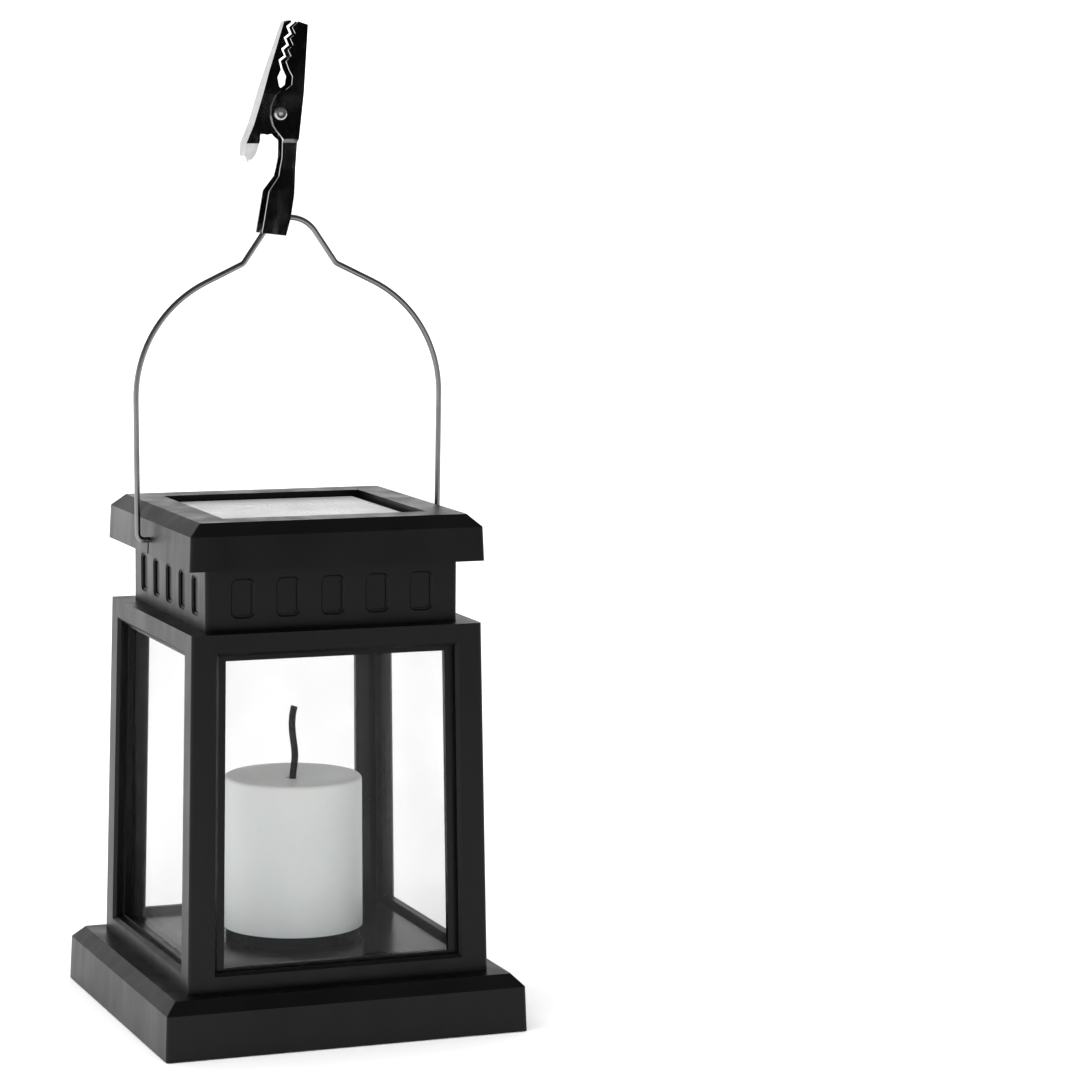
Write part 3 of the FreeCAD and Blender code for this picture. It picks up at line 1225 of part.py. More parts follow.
def side_plate(name, outline, wide, role="XZ_Plane"):
    """A flat profile in the bail's plane, thickened evenly to both sides."""
    body = new_body(name)
    sketch = new_sketch(body, role, name + "_outline")
    draw_polygon(sketch, outline)
    pad(body, sketch, wide, name + "_plate", midplane=True)
    return body


def face_blank(name, outline, low_x, high_x):
    """The clip's outline seen along X, thickened from one side to the other."""
    body = new_body(name)
    sketch = new_sketch(body, "YZ_Plane", name + "_outline", low_x)
    draw_polygon(sketch, outline)
    pad(body, sketch, high_x - low_x, name + "_block")
    return body


def common(name, first, second):
    """What two objects share."""
    result = doc.addObject("Part::MultiCommon", name)
    result.Shapes = [first, second]
    doc.recompute()
    return result


def mirrored(outline):
    """An outline given on the +Y side, closed on the -Y side."""
    return outline + [(-y, z) for y, z in outline[::-1]]


def teeth(start, stop, height, count, phase):
    """The zigzag between two points of a jaw's edge, its points standing out to one side."""
    along = stop - start
    out = Vector(-along.y, along.x).normalize() * height
    points = []
    for i in range(count):
        points.append(start + along * ((i + phase) / count))
        points.append(start + along * ((i + phase + 0.5) / count) + out)
    return points


def pairs(vectors):
    """Sketch coordinates of some vectors."""
    return [(v.x, v.y) for v in vectors]


JAW_ROOT = Vector(-2.25, 204.0)
JAW_TIP = Vector(0.05, 213.4)
CLIP_LOW_X = -16.0
CLIP_HIGH_X = 8.0


def make_long_jaw():
    """The long jaw: a folded channel with a round ear, a narrow neck and the tail that holds the bail."""
    sheet = float(D.clip_sheet)
    back = [
        (2.95, 213.2), (1.67, 200.1), (0.38, 188.4), (0.02, 183.2), (-0.53, 176.8), (-1.25, 172.25), (-2.3, 168.4),
    ]
    zigzag = teeth(JAW_TIP + Vector(0.6, 0.2), JAW_ROOT + Vector(0.7, 0.0), -float(D.tooth_tall), 4, 0.0)
    front = pairs(zigzag) + [
        (-1.6, 203.6), (-0.85, 202.2), (-1.1, 200.4), (-2.4, 199.4), (-3.6, 199.2), (-4.6, 198.2),
        (-5.6, 196.0), (-5.75, 193.8), (-5.2, 191.8), (-4.3, 190.4), (-2.85, 188.7),
        (-2.95, 184.9), (-3.75, 181.0), (-6.05, 177.9), (-6.9, 173.0), (-7.6, 169.0),
    ]
    outline = [(0.75, 213.9)] + front + back[::-1]
    blank = side_plate("long_blank", outline, D.clip_wide)
    wide, tail, neck, tip = D.clip_wide / 2, D.tail_wide / 2, D.neck_wide / 2, D.clip_tip_wide / 2
    outer = face_blank("long_face", mirrored([
        (tail, 167.0), (tail, 178.4), (neck, 182.6), (neck, 188.2),
        (wide, 189.0), (wide, 198.5), (tip, 215.0),
    ]), CLIP_LOW_X, CLIP_HIGH_X)
    shell = common("long_shell", blank, outer)
    inner_back = [(x - sheet, z) for x, z in back]
    inner_back[0] = (inner_back[0][0] - 0.1, 216.0)
    inner_back[-1] = (inner_back[-1][0] - 0.2, 166.0)
    hollow_outline = [(CLIP_LOW_X, 166.0), (CLIP_LOW_X, 216.0)] + inner_back
    hollow_blank = side_plate("long_hollow_blank", hollow_outline, D.clip_wide)
    gap = D.clip_sheet
    hollow_face = face_blank("long_hollow_face", mirrored([
        (tail - gap, 166.0), (tail - gap, 178.4), (neck - gap, 182.6), (neck - gap, 188.6),
        (wide - gap, 189.4), (wide - gap, 198.5), (tip - gap, 216.0),
    ]), CLIP_LOW_X, CLIP_HIGH_X)
    hollow = common("long_hollow", hollow_blank, hollow_face)
    channel = subtract("long_channel", shell, hollow)
    rivet_hole = cross_pin("long_rivet_hole", D.rivet_dia + 2 * D.screw_slack, 10.0)
    wire_hole = doc.addObject("Part::Cylinder", "wire_hole")
    wire_hole.Radius = (float(D.wire_dia) + 0.16) / 2
    wire_hole.Height = 5.0
    wire_hole.Placement = Placement(Vector(-2.6, 0, float(D.crown_z)), Rotation(Vector(0, 1, 0), 90))
    holes = fuse("long_holes", [rivet_hole, wire_hole])
    finish(subtract("long_jaw", channel, holes), "clip_long_jaw")


def cross_pin(name, diameter, length):
    """A cylinder on the rivet's axis, even to both sides."""
    pin = doc.addObject("Part::Cylinder", name)
    bind(pin, "Radius", diameter / 2)
    bind(pin, "Height", length)
    pin.Placement = Placement(
        Vector(float(D.rivet_x), float(length) / 2, float(D.rivet_z)), Rotation(Vector(1, 0, 0), 90)
    )
    return pin


def make_short_jaw():
    """The short jaw: a narrower channel that nests in the long one, with a flared thumb lever."""
    sheet = float(D.clip_sheet)
    back = [(-2.35, 213.8), (-4.25, 208.1), (-5.92, 203.2), (-7.76, 197.2), (-9.4, 192.0)]
    zigzag = teeth(JAW_TIP + Vector(-0.7, 0.3), JAW_ROOT + Vector(-0.9, 0.25), -float(D.tooth_tall), 4, 0.0)
    front = pairs(zigzag) + [
        (-3.3, 203.6), (-4.1, 202.0), (-3.8, 200.2), (-2.7, 198.6), (-1.9, 196.6), (-1.4, 194.6),
        (-1.8, 192.4), (-3.0, 190.7), (-4.8, 190.2), (-6.4, 189.8), (-8.0, 190.1),
    ]
    lever = [(-8.1, 188.5), (-8.9, 185.7), (-9.9, 184.3), (-10.6, 184.0), (-11.3, 185.4), (-11.1, 188.0)]
    outline = [(-0.95, 214.15)] + front + lever + back[::-1]
    blank = side_plate("short_blank", outline, D.clip_wide)
    wide, tip = D.short_wide / 2, D.clip_tip_wide / 2
    outer = face_blank("short_face", mirrored([
        (1.2, 183.5), (2.0, 185.0), (wide, 188.0), (wide, 198.5), (tip - 0.05, 215.5),
    ]), CLIP_LOW_X, CLIP_HIGH_X)
    shell = common("short_shell", blank, outer)
    inner_back = [(-10.0, 183.0), (-10.75, 186.0), (-10.5, 188.2)] + [(x + sheet, z) for x, z in back[::-1]]
    inner_back[-1] = (inner_back[-1][0] + 0.15, 216.0)
    hollow_outline = inner_back + [(CLIP_HIGH_X, 216.0), (CLIP_HIGH_X, 183.0)]
    hollow_blank = side_plate("short_hollow_blank", hollow_outline, D.clip_wide)
    gap = D.clip_sheet
    hollow_face = face_blank("short_hollow_face", mirrored([
        (1.6, 183.0), (wide - gap, 187.0), (wide - gap, 198.5), (tip - gap - 0.05, 216.0),
    ]), CLIP_LOW_X, CLIP_HIGH_X)
    hollow = common("short_hollow", hollow_blank, hollow_face)
    channel = subtract("short_channel", shell, hollow)
    rivet_hole = cross_pin("short_rivet_hole", D.rivet_dia + 0.1, 10.0)
    finish(subtract("short_jaw", channel, rivet_hole), "clip_short_jaw")


def make_rivet():
    """A hollow rivet with a rolled head on each side of the long jaw."""
    body = new_body("clip_rivet")
    half = D.clip_wide / 2 + 0.02
    radius = D.rivet_dia / 2
    profile = new_sketch(body, "YZ_Plane", "rivet_profile", D.rivet_x)
    head, bore = 1.35, 0.5
    draw_polygon(profile, [
        (-half - 0.5, D.rivet_z + bore),
        (-half - 0.5, D.rivet_z + head - 0.3), (-half - 0.3, D.rivet_z + head),
        (-half, D.rivet_z + head), (-half, D.rivet_z + radius), (half, D.rivet_z + radius),
        (half, D.rivet_z + head), (half + 0.3, D.rivet_z + head), (half + 0.5, D.rivet_z + head - 0.3),
        (half + 0.5, D.rivet_z + bore),
    ])
    axis = profile.addGeometry(
        Part.LineSegment(Vector(-3, float(D.rivet_z), 0), Vector(3, float(D.rivet_z), 0)), True
    )
    pin_point(profile, axis, 1, -3.0, D.rivet_z)
    pin_point(profile, axis, 2, 3.0, D.rivet_z)
    turned = body.newObject("PartDesign::Revolution", "rivet")
    turned.Profile = profile
    turned.ReferenceAxis = (profile, ["Axis0"])
    turned.Angle = 360
    doc.recompute()
    finish(body, "clip_rivet")


def make_clip_spring():
    """The torsion spring: a coil round the rivet with its tail leg, and the leg that turns with the lever."""
    wire, radius, pitch, turns = 0.6, 1.6, 0.65, 2.5
    corners_a_turn = 8
    bend, knee_bend = 1.5, 0.7
    leg_drop, end_gap = 2.2, 0.02
    middle = Vector(float(D.rivet_x), 0, float(D.rivet_z))
    half = pitch * turns / 2
    count = round(turns * corners_a_turn)
    reach = radius / math.cos(math.pi / corners_a_turn)
    coil = []
    for i in range(count):
        angle = math.pi - 2 * math.pi * (i + 0.5) / corners_a_turn
        along = -half + pitch * (i + 0.5) / corners_a_turn
        coil.append(middle + Vector(reach * math.cos(angle), along, reach * math.sin(angle)))
    start = middle + Vector(-radius, -half, 0)
    tail_knee = middle + Vector(radius, half, -leg_drop)
    tail_foot = Vector(-0.95, half, 185.0)
    radii = (bend,) * count + (knee_bend,)
    spring = lead_solid([start] + coil + [tail_knee, tail_foot], radii, wire)
    finish(shape_feature("clip_spring_shape", spring), "clip_spring")
    lever_points = [
        start - Vector(0, 0, end_gap),
        start - Vector(0, 0, leg_drop),
        Vector(-9.85, -half, 188.3),
    ]
    lever_leg = shape_feature("spring_lever_leg_shape", lead_solid(lever_points, (knee_bend,), wire))
    finish(lever_leg, "spring_lever_leg")


# --- The whole lantern --------------------------------------------------------------------------

def check_document():
    """Stops if any object failed, or any sub-part is empty or invalid."""
    doc.recompute()
    for obj in doc.Objects:
        if "Invalid" in obj.State or "Error" in obj.State:
            raise RuntimeError(f"{obj.Name} failed: {obj.State}")
    for part in FINISHED:
        shape = part.Shape
        if shape.isNull() or not shape.isValid() or not shape.Solids:
            raise RuntimeError(f"{part.Label} has no valid solid")


def write_parts():
    """Writes one file per sub-part."""
    os.makedirs("parts", exist_ok=True)
    for part in FINISHED:
        part.Shape.exportStep(f"parts/{part.Label}.step")
        print(f"{part.Label}: {len(part.Shape.Solids)} solid(s), {part.Shape.Volume:.1f} mm3")


make_base_shell()
make_base_cover()
make_battery_door()
make_screws()
make_battery()
make_board()
make_switch()
make_cage_frame()
make_windows()
make_candle()
make_led()
make_neck()
make_roof_cap()
make_panel()
make_solar_leads()
make_battery_leads()
make_bail()
make_long_jaw()
make_short_jaw()
make_rivet()
make_clip_spring()
check_document()
write_parts()
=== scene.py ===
import bpy
from mathutils import Matrix, Vector


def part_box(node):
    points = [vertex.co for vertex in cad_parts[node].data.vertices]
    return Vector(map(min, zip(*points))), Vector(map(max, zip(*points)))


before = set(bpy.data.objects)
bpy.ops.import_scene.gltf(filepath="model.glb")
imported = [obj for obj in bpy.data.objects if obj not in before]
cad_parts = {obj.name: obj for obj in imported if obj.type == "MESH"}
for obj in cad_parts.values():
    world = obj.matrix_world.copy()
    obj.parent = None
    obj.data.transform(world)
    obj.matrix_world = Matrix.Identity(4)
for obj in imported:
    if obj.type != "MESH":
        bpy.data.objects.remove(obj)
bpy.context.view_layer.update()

SCENE = bpy.context.scene


# --- Node helpers --------------------------------------------------------------------------------

class Graph:
    """A node tree with short ways to add nodes and link them."""

    def __init__(self, tree):
        self.tree = tree
        self.tree.nodes.clear()

    def add(self, kind, **settings):
        node = self.tree.nodes.new(kind)
        for key, value in settings.items():
            setattr(node, key, value)
        return node

    def link(self, source, target):
        self.tree.links.new(source, target)

    def object_space(self, stretch=(1.0, 1.0, 1.0)):
        """Object coordinates in metres, stretched along the axes."""
        coordinates = self.add("ShaderNodeTexCoord")
        mapping = self.add("ShaderNodeMapping")
        mapping.inputs["Scale"].default_value = stretch
        self.link(coordinates.outputs["Object"], mapping.inputs["Vector"])
        return mapping.outputs["Vector"]

    def noise(self, scale, detail=3.0, roughness=0.5, stretch=(1.0, 1.0, 1.0)):
        texture = self.add("ShaderNodeTexNoise")
        texture.inputs["Scale"].default_value = scale
        texture.inputs["Detail"].default_value = detail
        texture.inputs["Roughness"].default_value = roughness
        self.link(self.object_space(stretch), texture.inputs["Vector"])
        return texture.outputs["Fac"]

    def math(self, operation, first, second=None):
        node = self.add("ShaderNodeMath", operation=operation)
        for socket, value in zip(node.inputs, (first, second)):
            if value is None:
                continue
            if isinstance(value, (int, float)):
                socket.default_value = value
            else:
                self.link(value, socket)
        return node.outputs[0]

    def spread(self, factor, low, high, contrast=0.2):
        """A factor round 0.5 turned into a range of values."""
        node = self.add("ShaderNodeMapRange", clamp=True)
        node.inputs["From Min"].default_value = 0.5 - contrast
        node.inputs["From Max"].default_value = 0.5 + contrast
        node.inputs["To Min"].default_value = low
        node.inputs["To Max"].default_value = high
        self.link(factor, node.inputs["Value"])
        return node.outputs[0]

    def ramp(self, value, bounds, results):
        """A smooth step of a value between two bounds."""
        node = self.add("ShaderNodeMapRange", interpolation_type="SMOOTHSTEP")
        node.inputs["From Min"].default_value = bounds[0]
        node.inputs["From Max"].default_value = bounds[1]
        node.inputs["To Min"].default_value = results[0]
        node.inputs["To Max"].default_value = results[1]
        self.link(value, node.inputs["Value"])
        return node.outputs[0]

    def blend(self, factor, first, second):
        """A mix of two colours, each a tuple or a socket."""
        node = self.add("ShaderNodeMix", data_type="RGBA")
        for socket, value in ((node.inputs[0], factor), (node.inputs[6], first), (node.inputs[7], second)):
            if isinstance(value, tuple):
                socket.default_value = (*value, 1.0)
            elif isinstance(value, (int, float)):
                socket.default_value = value
            else:
                self.link(value, socket)
        return node.outputs[2]

    def bump(self, height, strength, distance, below=None):
        node = self.add("ShaderNodeBump")
        node.inputs["Strength"].default_value = strength
        node.inputs["Distance"].default_value = distance
        self.link(height, node.inputs["Height"])
        if below is not None:
            self.link(below, node.inputs["Normal"])
        return node.outputs["Normal"]

    def principled(self, **values):
        """A Principled shader on the output, with numbers, colours or sockets for its inputs."""
        shader = self.add("ShaderNodeBsdfPrincipled")
        output = self.add("ShaderNodeOutputMaterial")
        self.link(shader.outputs[0], output.inputs["Surface"])
        for name, value in values.items():
            socket = shader.inputs[name.replace("_", " ")]
            if isinstance(value, tuple):
                socket.default_value = (*value, 1.0)
            elif isinstance(value, (int, float)):
                socket.default_value = value
            else:
                self.link(value, socket)


def new_material(name):
    material = bpy.data.materials.new(name)
    material.use_nodes = True
    return material, Graph(material.node_tree)


def dress(material, *nodes):
    """Puts one material on CAD nodes."""
    for node in nodes:
        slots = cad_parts[node].data.materials
        if len(slots) == 0:
            slots.append(material)
        for i in range(len(slots)):
            slots[i] = material


# --- Materials -----------------------------------------------------------------------------------

PLASTIC_IOR = 1.30
POLISH = 0.38  # how much less rough a polished face is
SATIN = (0.26, 0.40)  # the range of roughness on the lantern's plastic
BLACK = (0.0015, 0.0015, 0.0016)
BLACK_PALE = (0.0035, 0.0035, 0.0036)
FINGER_PITCH = 0.0016  # between the collector lines of a solar cell
FINGER_SHARE = 0.09


def moulded_plastic(name, color, pale, rough_low, rough_high, polished=None, grain_strength=0.12):
    """Satin moulded plastic: a fine grain, soft cloudy sheen and a few faint rub marks.

    The faces between two heights in polished are smoother than the rest.
    """
    material, g = new_material(name)
    clouds = g.noise(38.0, 4.0, 0.55)
    streaks = g.noise(60.0, 3.0, 0.5, (3.0, 3.0, 0.35))
    grain = g.noise(5200.0, 2.0, 0.6)
    scuffs = g.noise(900.0, 5.0, 0.7, (1.0, 1.0, 0.15))
    sheen = g.math("MULTIPLY", g.math("ADD", clouds, streaks), 0.5)
    roughness = g.math("ADD", g.spread(sheen, rough_low, rough_high, 0.14), g.spread(scuffs, 0.0, 0.05, 0.25))
    if polished:
        low, high = polished
        place = g.add("ShaderNodeSeparateXYZ")
        g.link(g.object_space(), place.inputs[0])
        above = g.math("GREATER_THAN", place.outputs["Z"], low)
        below = g.math("LESS_THAN", place.outputs["Z"], high)
        gloss = g.math("MULTIPLY", g.math("MULTIPLY", above, below), POLISH)
        roughness = g.math("MULTIPLY", roughness, g.math("SUBTRACT", 1.0, gloss))
    tone = g.blend(g.spread(clouds, 0.0, 1.0, 0.25), color, pale)
    fine = g.bump(grain, grain_strength, 0.00004)
    normal = g.bump(clouds, 0.08, 0.0006, fine)
    g.principled(Base_Color=tone, Roughness=roughness, IOR=PLASTIC_IOR, Normal=normal)
    return material


def clear_sheet(name, color, alpha, roughness):
    """A clear pane: almost invisible, with a little haze and a few dust specks."""
    material, g = new_material(name)
    haze = g.noise(24.0, 3.0, 0.5)
    specks = g.noise(1400.0, 2.0, 0.5)
    dust = g.math("MULTIPLY", g.math("GREATER_THAN", specks, 0.74), 0.12)
    veil = g.math("ADD", g.spread(haze, alpha * 0.75, alpha * 1.3, 0.2), dust)
    g.principled(Base_Color=color, Roughness=roughness, IOR=1.49, Alpha=veil)
    return material


def panel_sheet(name):
    """The frosted top sheet over the solar cells, with a fine texture and dust."""
    material, g = new_material(name)
    ripple = g.noise(420.0, 3.0, 0.6)
    dust = g.noise(90.0, 5.0, 0.65)
    normal = g.bump(ripple, 0.05, 0.00006)
    roughness = g.spread(dust, 0.24, 0.36, 0.2)
    g.principled(
        Base_Color=(0.49, 0.49, 0.49), Roughness=roughness, IOR=1.50, Transmission_Weight=0.35, Normal=normal,
    )
    return material


def wax(name):
    """Ivory wax: smooth and slightly translucent, with faint flow marks."""
    material, g = new_material(name)
    flow = g.noise(70.0, 4.0, 0.5, (1.0, 1.0, 0.3))
    mottle = g.noise(260.0, 4.0, 0.55)
    pores = g.noise(2600.0, 2.0, 0.5)
    tone = g.blend(g.spread(flow, 0.0, 1.0, 0.2), (0.87, 0.867, 0.86), (0.92, 0.918, 0.912))
    tone = g.blend(g.spread(mottle, 0.0, 0.25, 0.2), tone, (0.84, 0.837, 0.83))
    roughness = g.spread(mottle, 0.38, 0.55, 0.2)
    normal = g.bump(flow, 0.12, 0.0008, g.bump(pores, 0.06, 0.00004))
    g.principled(
        Base_Color=tone, Roughness=roughness, IOR=1.44, Normal=normal,
        Subsurface_Weight=0.25, Subsurface_Scale=0.004,
    )
    return material


def charred(name):
    """A burnt cotton wick: matt black with a twisted weave."""
    material, g = new_material(name)
    twist = g.add("ShaderNodeTexWave", wave_type="BANDS", bands_direction="DIAGONAL")
    twist.inputs["Scale"].default_value = 320.0
    twist.inputs["Distortion"].default_value = 1.5
    g.link(g.object_space(), twist.inputs["Vector"])
    soot = g.noise(900.0, 4.0, 0.6)
    tone = g.blend(g.spread(soot, 0.0, 1.0, 0.2), (0.008, 0.008, 0.008), (0.03, 0.029, 0.028))
    normal = g.bump(twist.outputs["Fac"], 0.5, 0.0002)
    g.principled(Base_Color=tone, Roughness=0.85, Normal=normal)
    return material


def metal(name, color, rough_low, rough_high, brush=(1.0, 1.0, 1.0), brush_scale=700.0, grime=None):
    """Bare or plated metal with a brushed direction and cloudy polish."""
    material, g = new_material(name)
    lines = g.noise(brush_scale, 3.0, 0.6, brush)
    clouds = g.noise(160.0, 4.0, 0.6)
    roughness = g.math(
        "ADD", g.spread(clouds, rough_low, rough_high, 0.2), g.spread(lines, -0.03, 0.03, 0.2),
    )
    darker = tuple(0.78 * c for c in color)
    tone = g.blend(g.spread(lines, 0.0, 0.6, 0.25), color, darker)
    if grime:
        spots = g.noise(520.0, 5.0, 0.65)
        tone = g.blend(g.spread(spots, 0.0, 0.5, 0.18), tone, grime)
    normal = g.bump(lines, 0.10, 0.00003)
    g.principled(Base_Color=tone, Metallic=1.0, Roughness=roughness, Normal=normal)
    return material


def solar_silicon(name):
    """Dark silicon with fine pale collector lines across it."""
    material, g = new_material(name)
    place = g.add("ShaderNodeSeparateXYZ")
    g.link(g.object_space(), place.inputs[0])
    rows = g.math("MULTIPLY", place.outputs["Y"], 1 / FINGER_PITCH)
    fingers = g.math("LESS_THAN", g.math("FRACT", rows), FINGER_SHARE)
    grain = g.noise(260.0, 2.0, 0.4)
    tone = g.blend(g.spread(grain, 0.0, 1.0, 0.15), (0.02, 0.024, 0.05), (0.05, 0.06, 0.10))
    tone = g.blend(fingers, tone, (0.5, 0.5, 0.52))
    g.principled(Base_Color=tone, Roughness=0.3, Normal=g.bump(fingers, 0.2, 0.00003))
    return material


def plain_detail(name, color, roughness, metallic=0.0):
    """A simple surface with a fine grain and a little variation of tone."""
    material, g = new_material(name)
    grain = g.noise(900.0, 3.0, 0.55)
    clouds = g.noise(140.0, 3.0, 0.5)
    paler = tuple(min(1.0, 1.35 * c + 0.004) for c in color)
    tone = g.blend(g.spread(clouds, 0.0, 1.0, 0.25), color, paler)
    rough = g.spread(clouds, max(roughness - 0.07, 0.02), roughness + 0.07, 0.2)
    g.principled(Base_Color=tone, Roughness=rough, Metallic=metallic, Normal=g.bump(grain, 0.15, 0.00003))
    return material


# The lamp room's raised floor is glossier than the rest of the foot. Its polished band starts above
# the lower edges of the panes and ends just over the face that the candle holder stands on.
room_low, room_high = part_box("window_front")[0][2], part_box("candle_holder")[0][2]
ABOVE_PANE_EDGE = 0.0015
OVER_FLOOR = 0.0002
dress(
    moulded_plastic(
        "foot_plastic", BLACK, BLACK_PALE, *SATIN,
        polished=(room_low + ABOVE_PANE_EDGE, room_high + OVER_FLOOR), grain_strength=0.04,
    ),
    "base_shell",
)
dress(
    moulded_plastic("black_plastic", BLACK, BLACK_PALE, *SATIN),
    "cage_frame", "neck_housing", "roof_cap", "base_cover", "battery_door",
)
dress(
    moulded_plastic("black_trim", (0.003, 0.003, 0.003), (0.006, 0.006, 0.006), 0.45, 0.6),
    "candle_holder", "panel_gasket", "switch_knob",
)
dress(
    clear_sheet("clear_pane", (0.05, 0.05, 0.05), 0.11, 0.05),
    "window_front", "window_back", "window_left", "window_right",
)
dress(panel_sheet("panel_cover"), "solar_cover")
dress(wax("ivory_wax"), "candle_shell")
dress(charred("wick"), "candle_wick")
dress(metal("bail_wire", (0.26, 0.26, 0.27), 0.24, 0.40, (1.0, 1.0, 0.2), 1400.0), "bail_handle")
dress(
    metal("clip_steel", (0.60, 0.60, 0.61), 0.06, 0.15, (1.0, 1.0, 0.25), 900.0, (0.30, 0.30, 0.31)),
    "clip_long_jaw", "clip_short_jaw",
)
dress(metal("rivet_steel", (0.55, 0.55, 0.56), 0.15, 0.28), "clip_rivet")
dress(
    metal("spring_steel", (0.40, 0.40, 0.42), 0.2, 0.34),
    "clip_spring", "spring_lever_leg", "battery_spring", "battery_contact", "led_leads",
)
dress(
    metal("screw_steel", (0.48, 0.48, 0.5), 0.25, 0.4),
    "cover_screws", "cage_screws", "roof_screws", "board_screws", "door_screw",
)
dress(solar_silicon("solar_cell"), "solar_cells")
dress(plain_detail("panel_backing", (0.70, 0.70, 0.68), 0.6), "solar_board")
dress(plain_detail("board_green", (0.02, 0.16, 0.06), 0.35), "circuit_board")
dress(plain_detail("chip_black", (0.015, 0.015, 0.015), 0.5), "driver_chip", "switch_body")
dress(plain_detail("coil_ferrite", (0.05, 0.05, 0.055), 0.55), "boost_coil")
dress(plain_detail("solder", (0.55, 0.55, 0.56), 0.3, metallic=1.0), "solder_tabs")
dress(plain_detail("lead_red", (0.42, 0.015, 0.015), 0.45), "solar_lead_red", "battery_lead_red")
dress(plain_detail("lead_black", (0.012, 0.012, 0.012), 0.45), "solar_lead_black", "battery_lead_black")
dress(plain_detail("battery_wrap", (0.04, 0.16, 0.38), 0.25), "battery_cell")
dress(clear_sheet("led_clear", (0.9, 0.86, 0.75), 0.55, 0.08), "led_bulb")


# --- Stage, light and camera ---------------------------------------------------------------------

FLOOR_HALF = 6.0
FLOOR_DROP = 0.0002  # keeps the floor clear of the foot's flat underside

# The sky gets brighter towards the back left, with a lobe at the back a little to the right
BACK_LEFT = (-0.35, 0.75)
BACK_RIGHT = (0.37, 0.92)
HORIZON_TURN = (-0.6, 0.5)
HORIZON_FRONT = 0.35
HORIZON_BACK = 1.2
LOBE_TURN = (0.80, 0.97)
LOBE = 0.5
BAND_HEIGHT = (0.17, 0.36)  # where the bright band near the horizon fades out
OVERHEAD = 0.10

CAMERA_PLACE = (-0.2440, -0.7626, 0.2004)
CAMERA_RIGHT = (0.9303, -0.3668, 0.0086)
CAMERA_BACK = (-0.3651, -0.9231, 0.1210)
LENS = 123.84


def make_floor():
    """A plain pale floor under the lantern."""
    half = FLOOR_HALF
    mesh = bpy.data.meshes.new("floor")
    corners = [(-half, -half, 0), (half, -half, 0), (half, half, 0), (-half, half, 0)]
    mesh.from_pydata(corners, [], [(0, 1, 2, 3)])
    floor = bpy.data.objects.new("floor", mesh)
    SCENE.collection.objects.link(floor)
    floor.location.z = -FLOOR_DROP
    material, g = new_material("pale_floor")
    g.principled(Base_Color=(0.95, 0.95, 0.95), Roughness=0.9, Specular_IOR_Level=0.0)
    mesh.materials.append(material)


def make_card(name, center, facing, wide, tall, color):
    """A flat studio card that stands outside the picture and shows only in reflections."""
    mesh = bpy.data.meshes.new(name)
    w, t = wide / 2, tall / 2
    mesh.from_pydata([(-w, -t, 0), (w, -t, 0), (w, t, 0), (-w, t, 0)], [], [(0, 1, 2, 3)])
    card = bpy.data.objects.new(name, mesh)
    SCENE.collection.objects.link(card)
    card.location = center
    card.rotation_mode = "QUATERNION"
    card.rotation_quaternion = Vector(facing).to_track_quat("Z", "Y")
    material, g = new_material(name)
    g.principled(Base_Color=color, Roughness=1.0, Specular_IOR_Level=0.0)
    mesh.materials.append(material)


def make_softbox(name, place, target, size, power):
    """A square area light that looks at a point and doesn't mirror in the glossy surfaces."""
    light = bpy.data.lights.new(name, "AREA")
    light.shape = "SQUARE"
    light.size = size
    light.energy = power
    holder = bpy.data.objects.new(name, light)
    SCENE.collection.objects.link(holder)
    holder.location = place
    holder.rotation_mode = "QUATERNION"
    holder.rotation_quaternion = (Vector(target) - Vector(place)).to_track_quat("-Z", "Y")
    holder.visible_glossy = False


def make_sky_light(name, came_from, spread, strength):
    """A very soft far light from one side that doesn't mirror in the glossy surfaces."""
    light = bpy.data.lights.new(name, "SUN")
    light.angle = spread
    light.energy = strength
    holder = bpy.data.objects.new(name, light)
    SCENE.collection.objects.link(holder)
    holder.location = came_from
    holder.rotation_mode = "QUATERNION"
    holder.rotation_quaternion = (-Vector(came_from)).to_track_quat("-Z", "Y")
    holder.visible_glossy = False


def leaning(g, place, direction):
    """How far a direction in the sky leans towards a level one."""
    x, y = direction
    return g.math(
        "ADD", g.math("MULTIPLY", place.outputs["Y"], y), g.math("MULTIPLY", place.outputs["X"], x),
    )


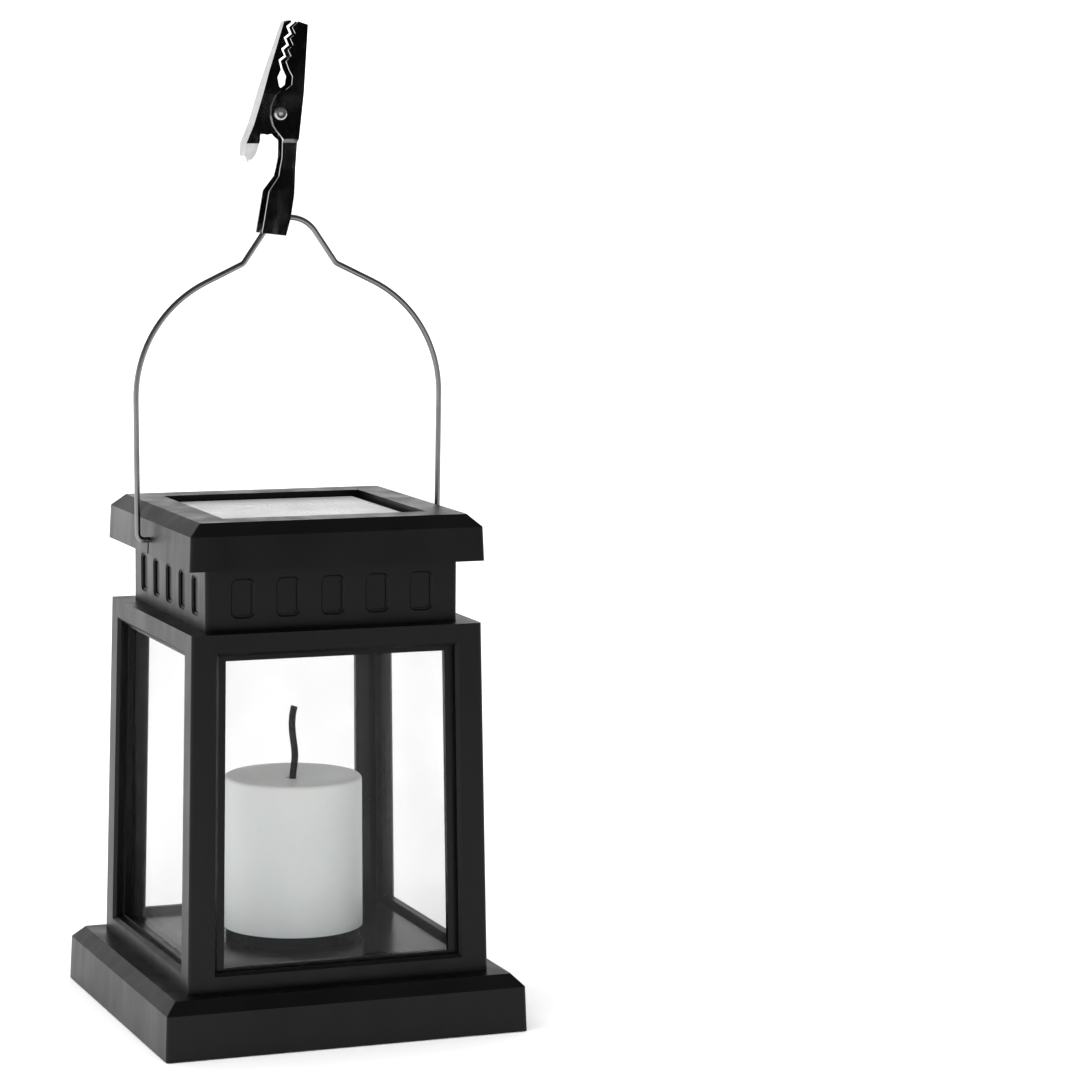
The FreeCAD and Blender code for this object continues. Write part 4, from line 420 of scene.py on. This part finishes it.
def make_world():
    """A studio with a white band low behind and to the left, darker overhead and in front."""
    world = bpy.data.worlds.new("studio")
    SCENE.world = world
    world.use_nodes = True
    g = Graph(world.node_tree)
    coordinates = g.add("ShaderNodeTexCoord")
    place = g.add("ShaderNodeSeparateXYZ")
    g.link(coordinates.outputs["Generated"], place.inputs[0])
    level = g.ramp(leaning(g, place, BACK_LEFT), HORIZON_TURN, (HORIZON_FRONT, HORIZON_BACK))
    lobe = g.ramp(leaning(g, place, BACK_RIGHT), LOBE_TURN, (0.0, LOBE))
    horizon = g.math("ADD", level, lobe)
    glow = g.ramp(place.outputs["Z"], BAND_HEIGHT, (1.0, 0.0))
    strength = g.math("ADD", g.math("MULTIPLY", g.math("SUBTRACT", horizon, OVERHEAD), glow), OVERHEAD)
    background = g.add("ShaderNodeBackground")
    output = g.add("ShaderNodeOutputWorld")
    background.inputs["Color"].default_value = (1.0, 1.0, 1.0, 1.0)
    g.link(strength, background.inputs["Strength"])
    g.link(background.outputs[0], output.inputs["Surface"])


def make_camera():
    """A long lens from the front left and a little above."""
    camera = bpy.data.cameras.new("camera")
    camera.sensor_width = 36.0
    camera.lens = LENS
    camera.clip_start = 0.05
    camera.clip_end = 50.0
    holder = bpy.data.objects.new("camera", camera)
    SCENE.collection.objects.link(holder)
    right = Vector(CAMERA_RIGHT).normalized()
    back = Vector(CAMERA_BACK).normalized()
    up = back.cross(right).normalized()
    turn = Matrix((right, up, back)).transposed().to_4x4()
    holder.matrix_world = Matrix.Translation(CAMERA_PLACE) @ turn
    SCENE.camera = holder


make_floor()
make_world()
make_card("dark_card", (0.37, -1.13, 0.30), (-0.37, 0.93, 0.0), 0.44, 0.80, (0.004, 0.004, 0.004))
make_sky_light("overhead_light", (0.1, 0.15, 1.0), 1.8, 2.0)
make_sky_light("low_front_light", (-0.45, -1.0, 0.40), 2.4, 3.3)
make_softbox("back_left_light", (-1.3, 2.4, 1.5), (-0.8, 1.6, 0.0), 1.0, 44.0)
make_camera()
SCENE.view_settings.view_transform = "Standard"
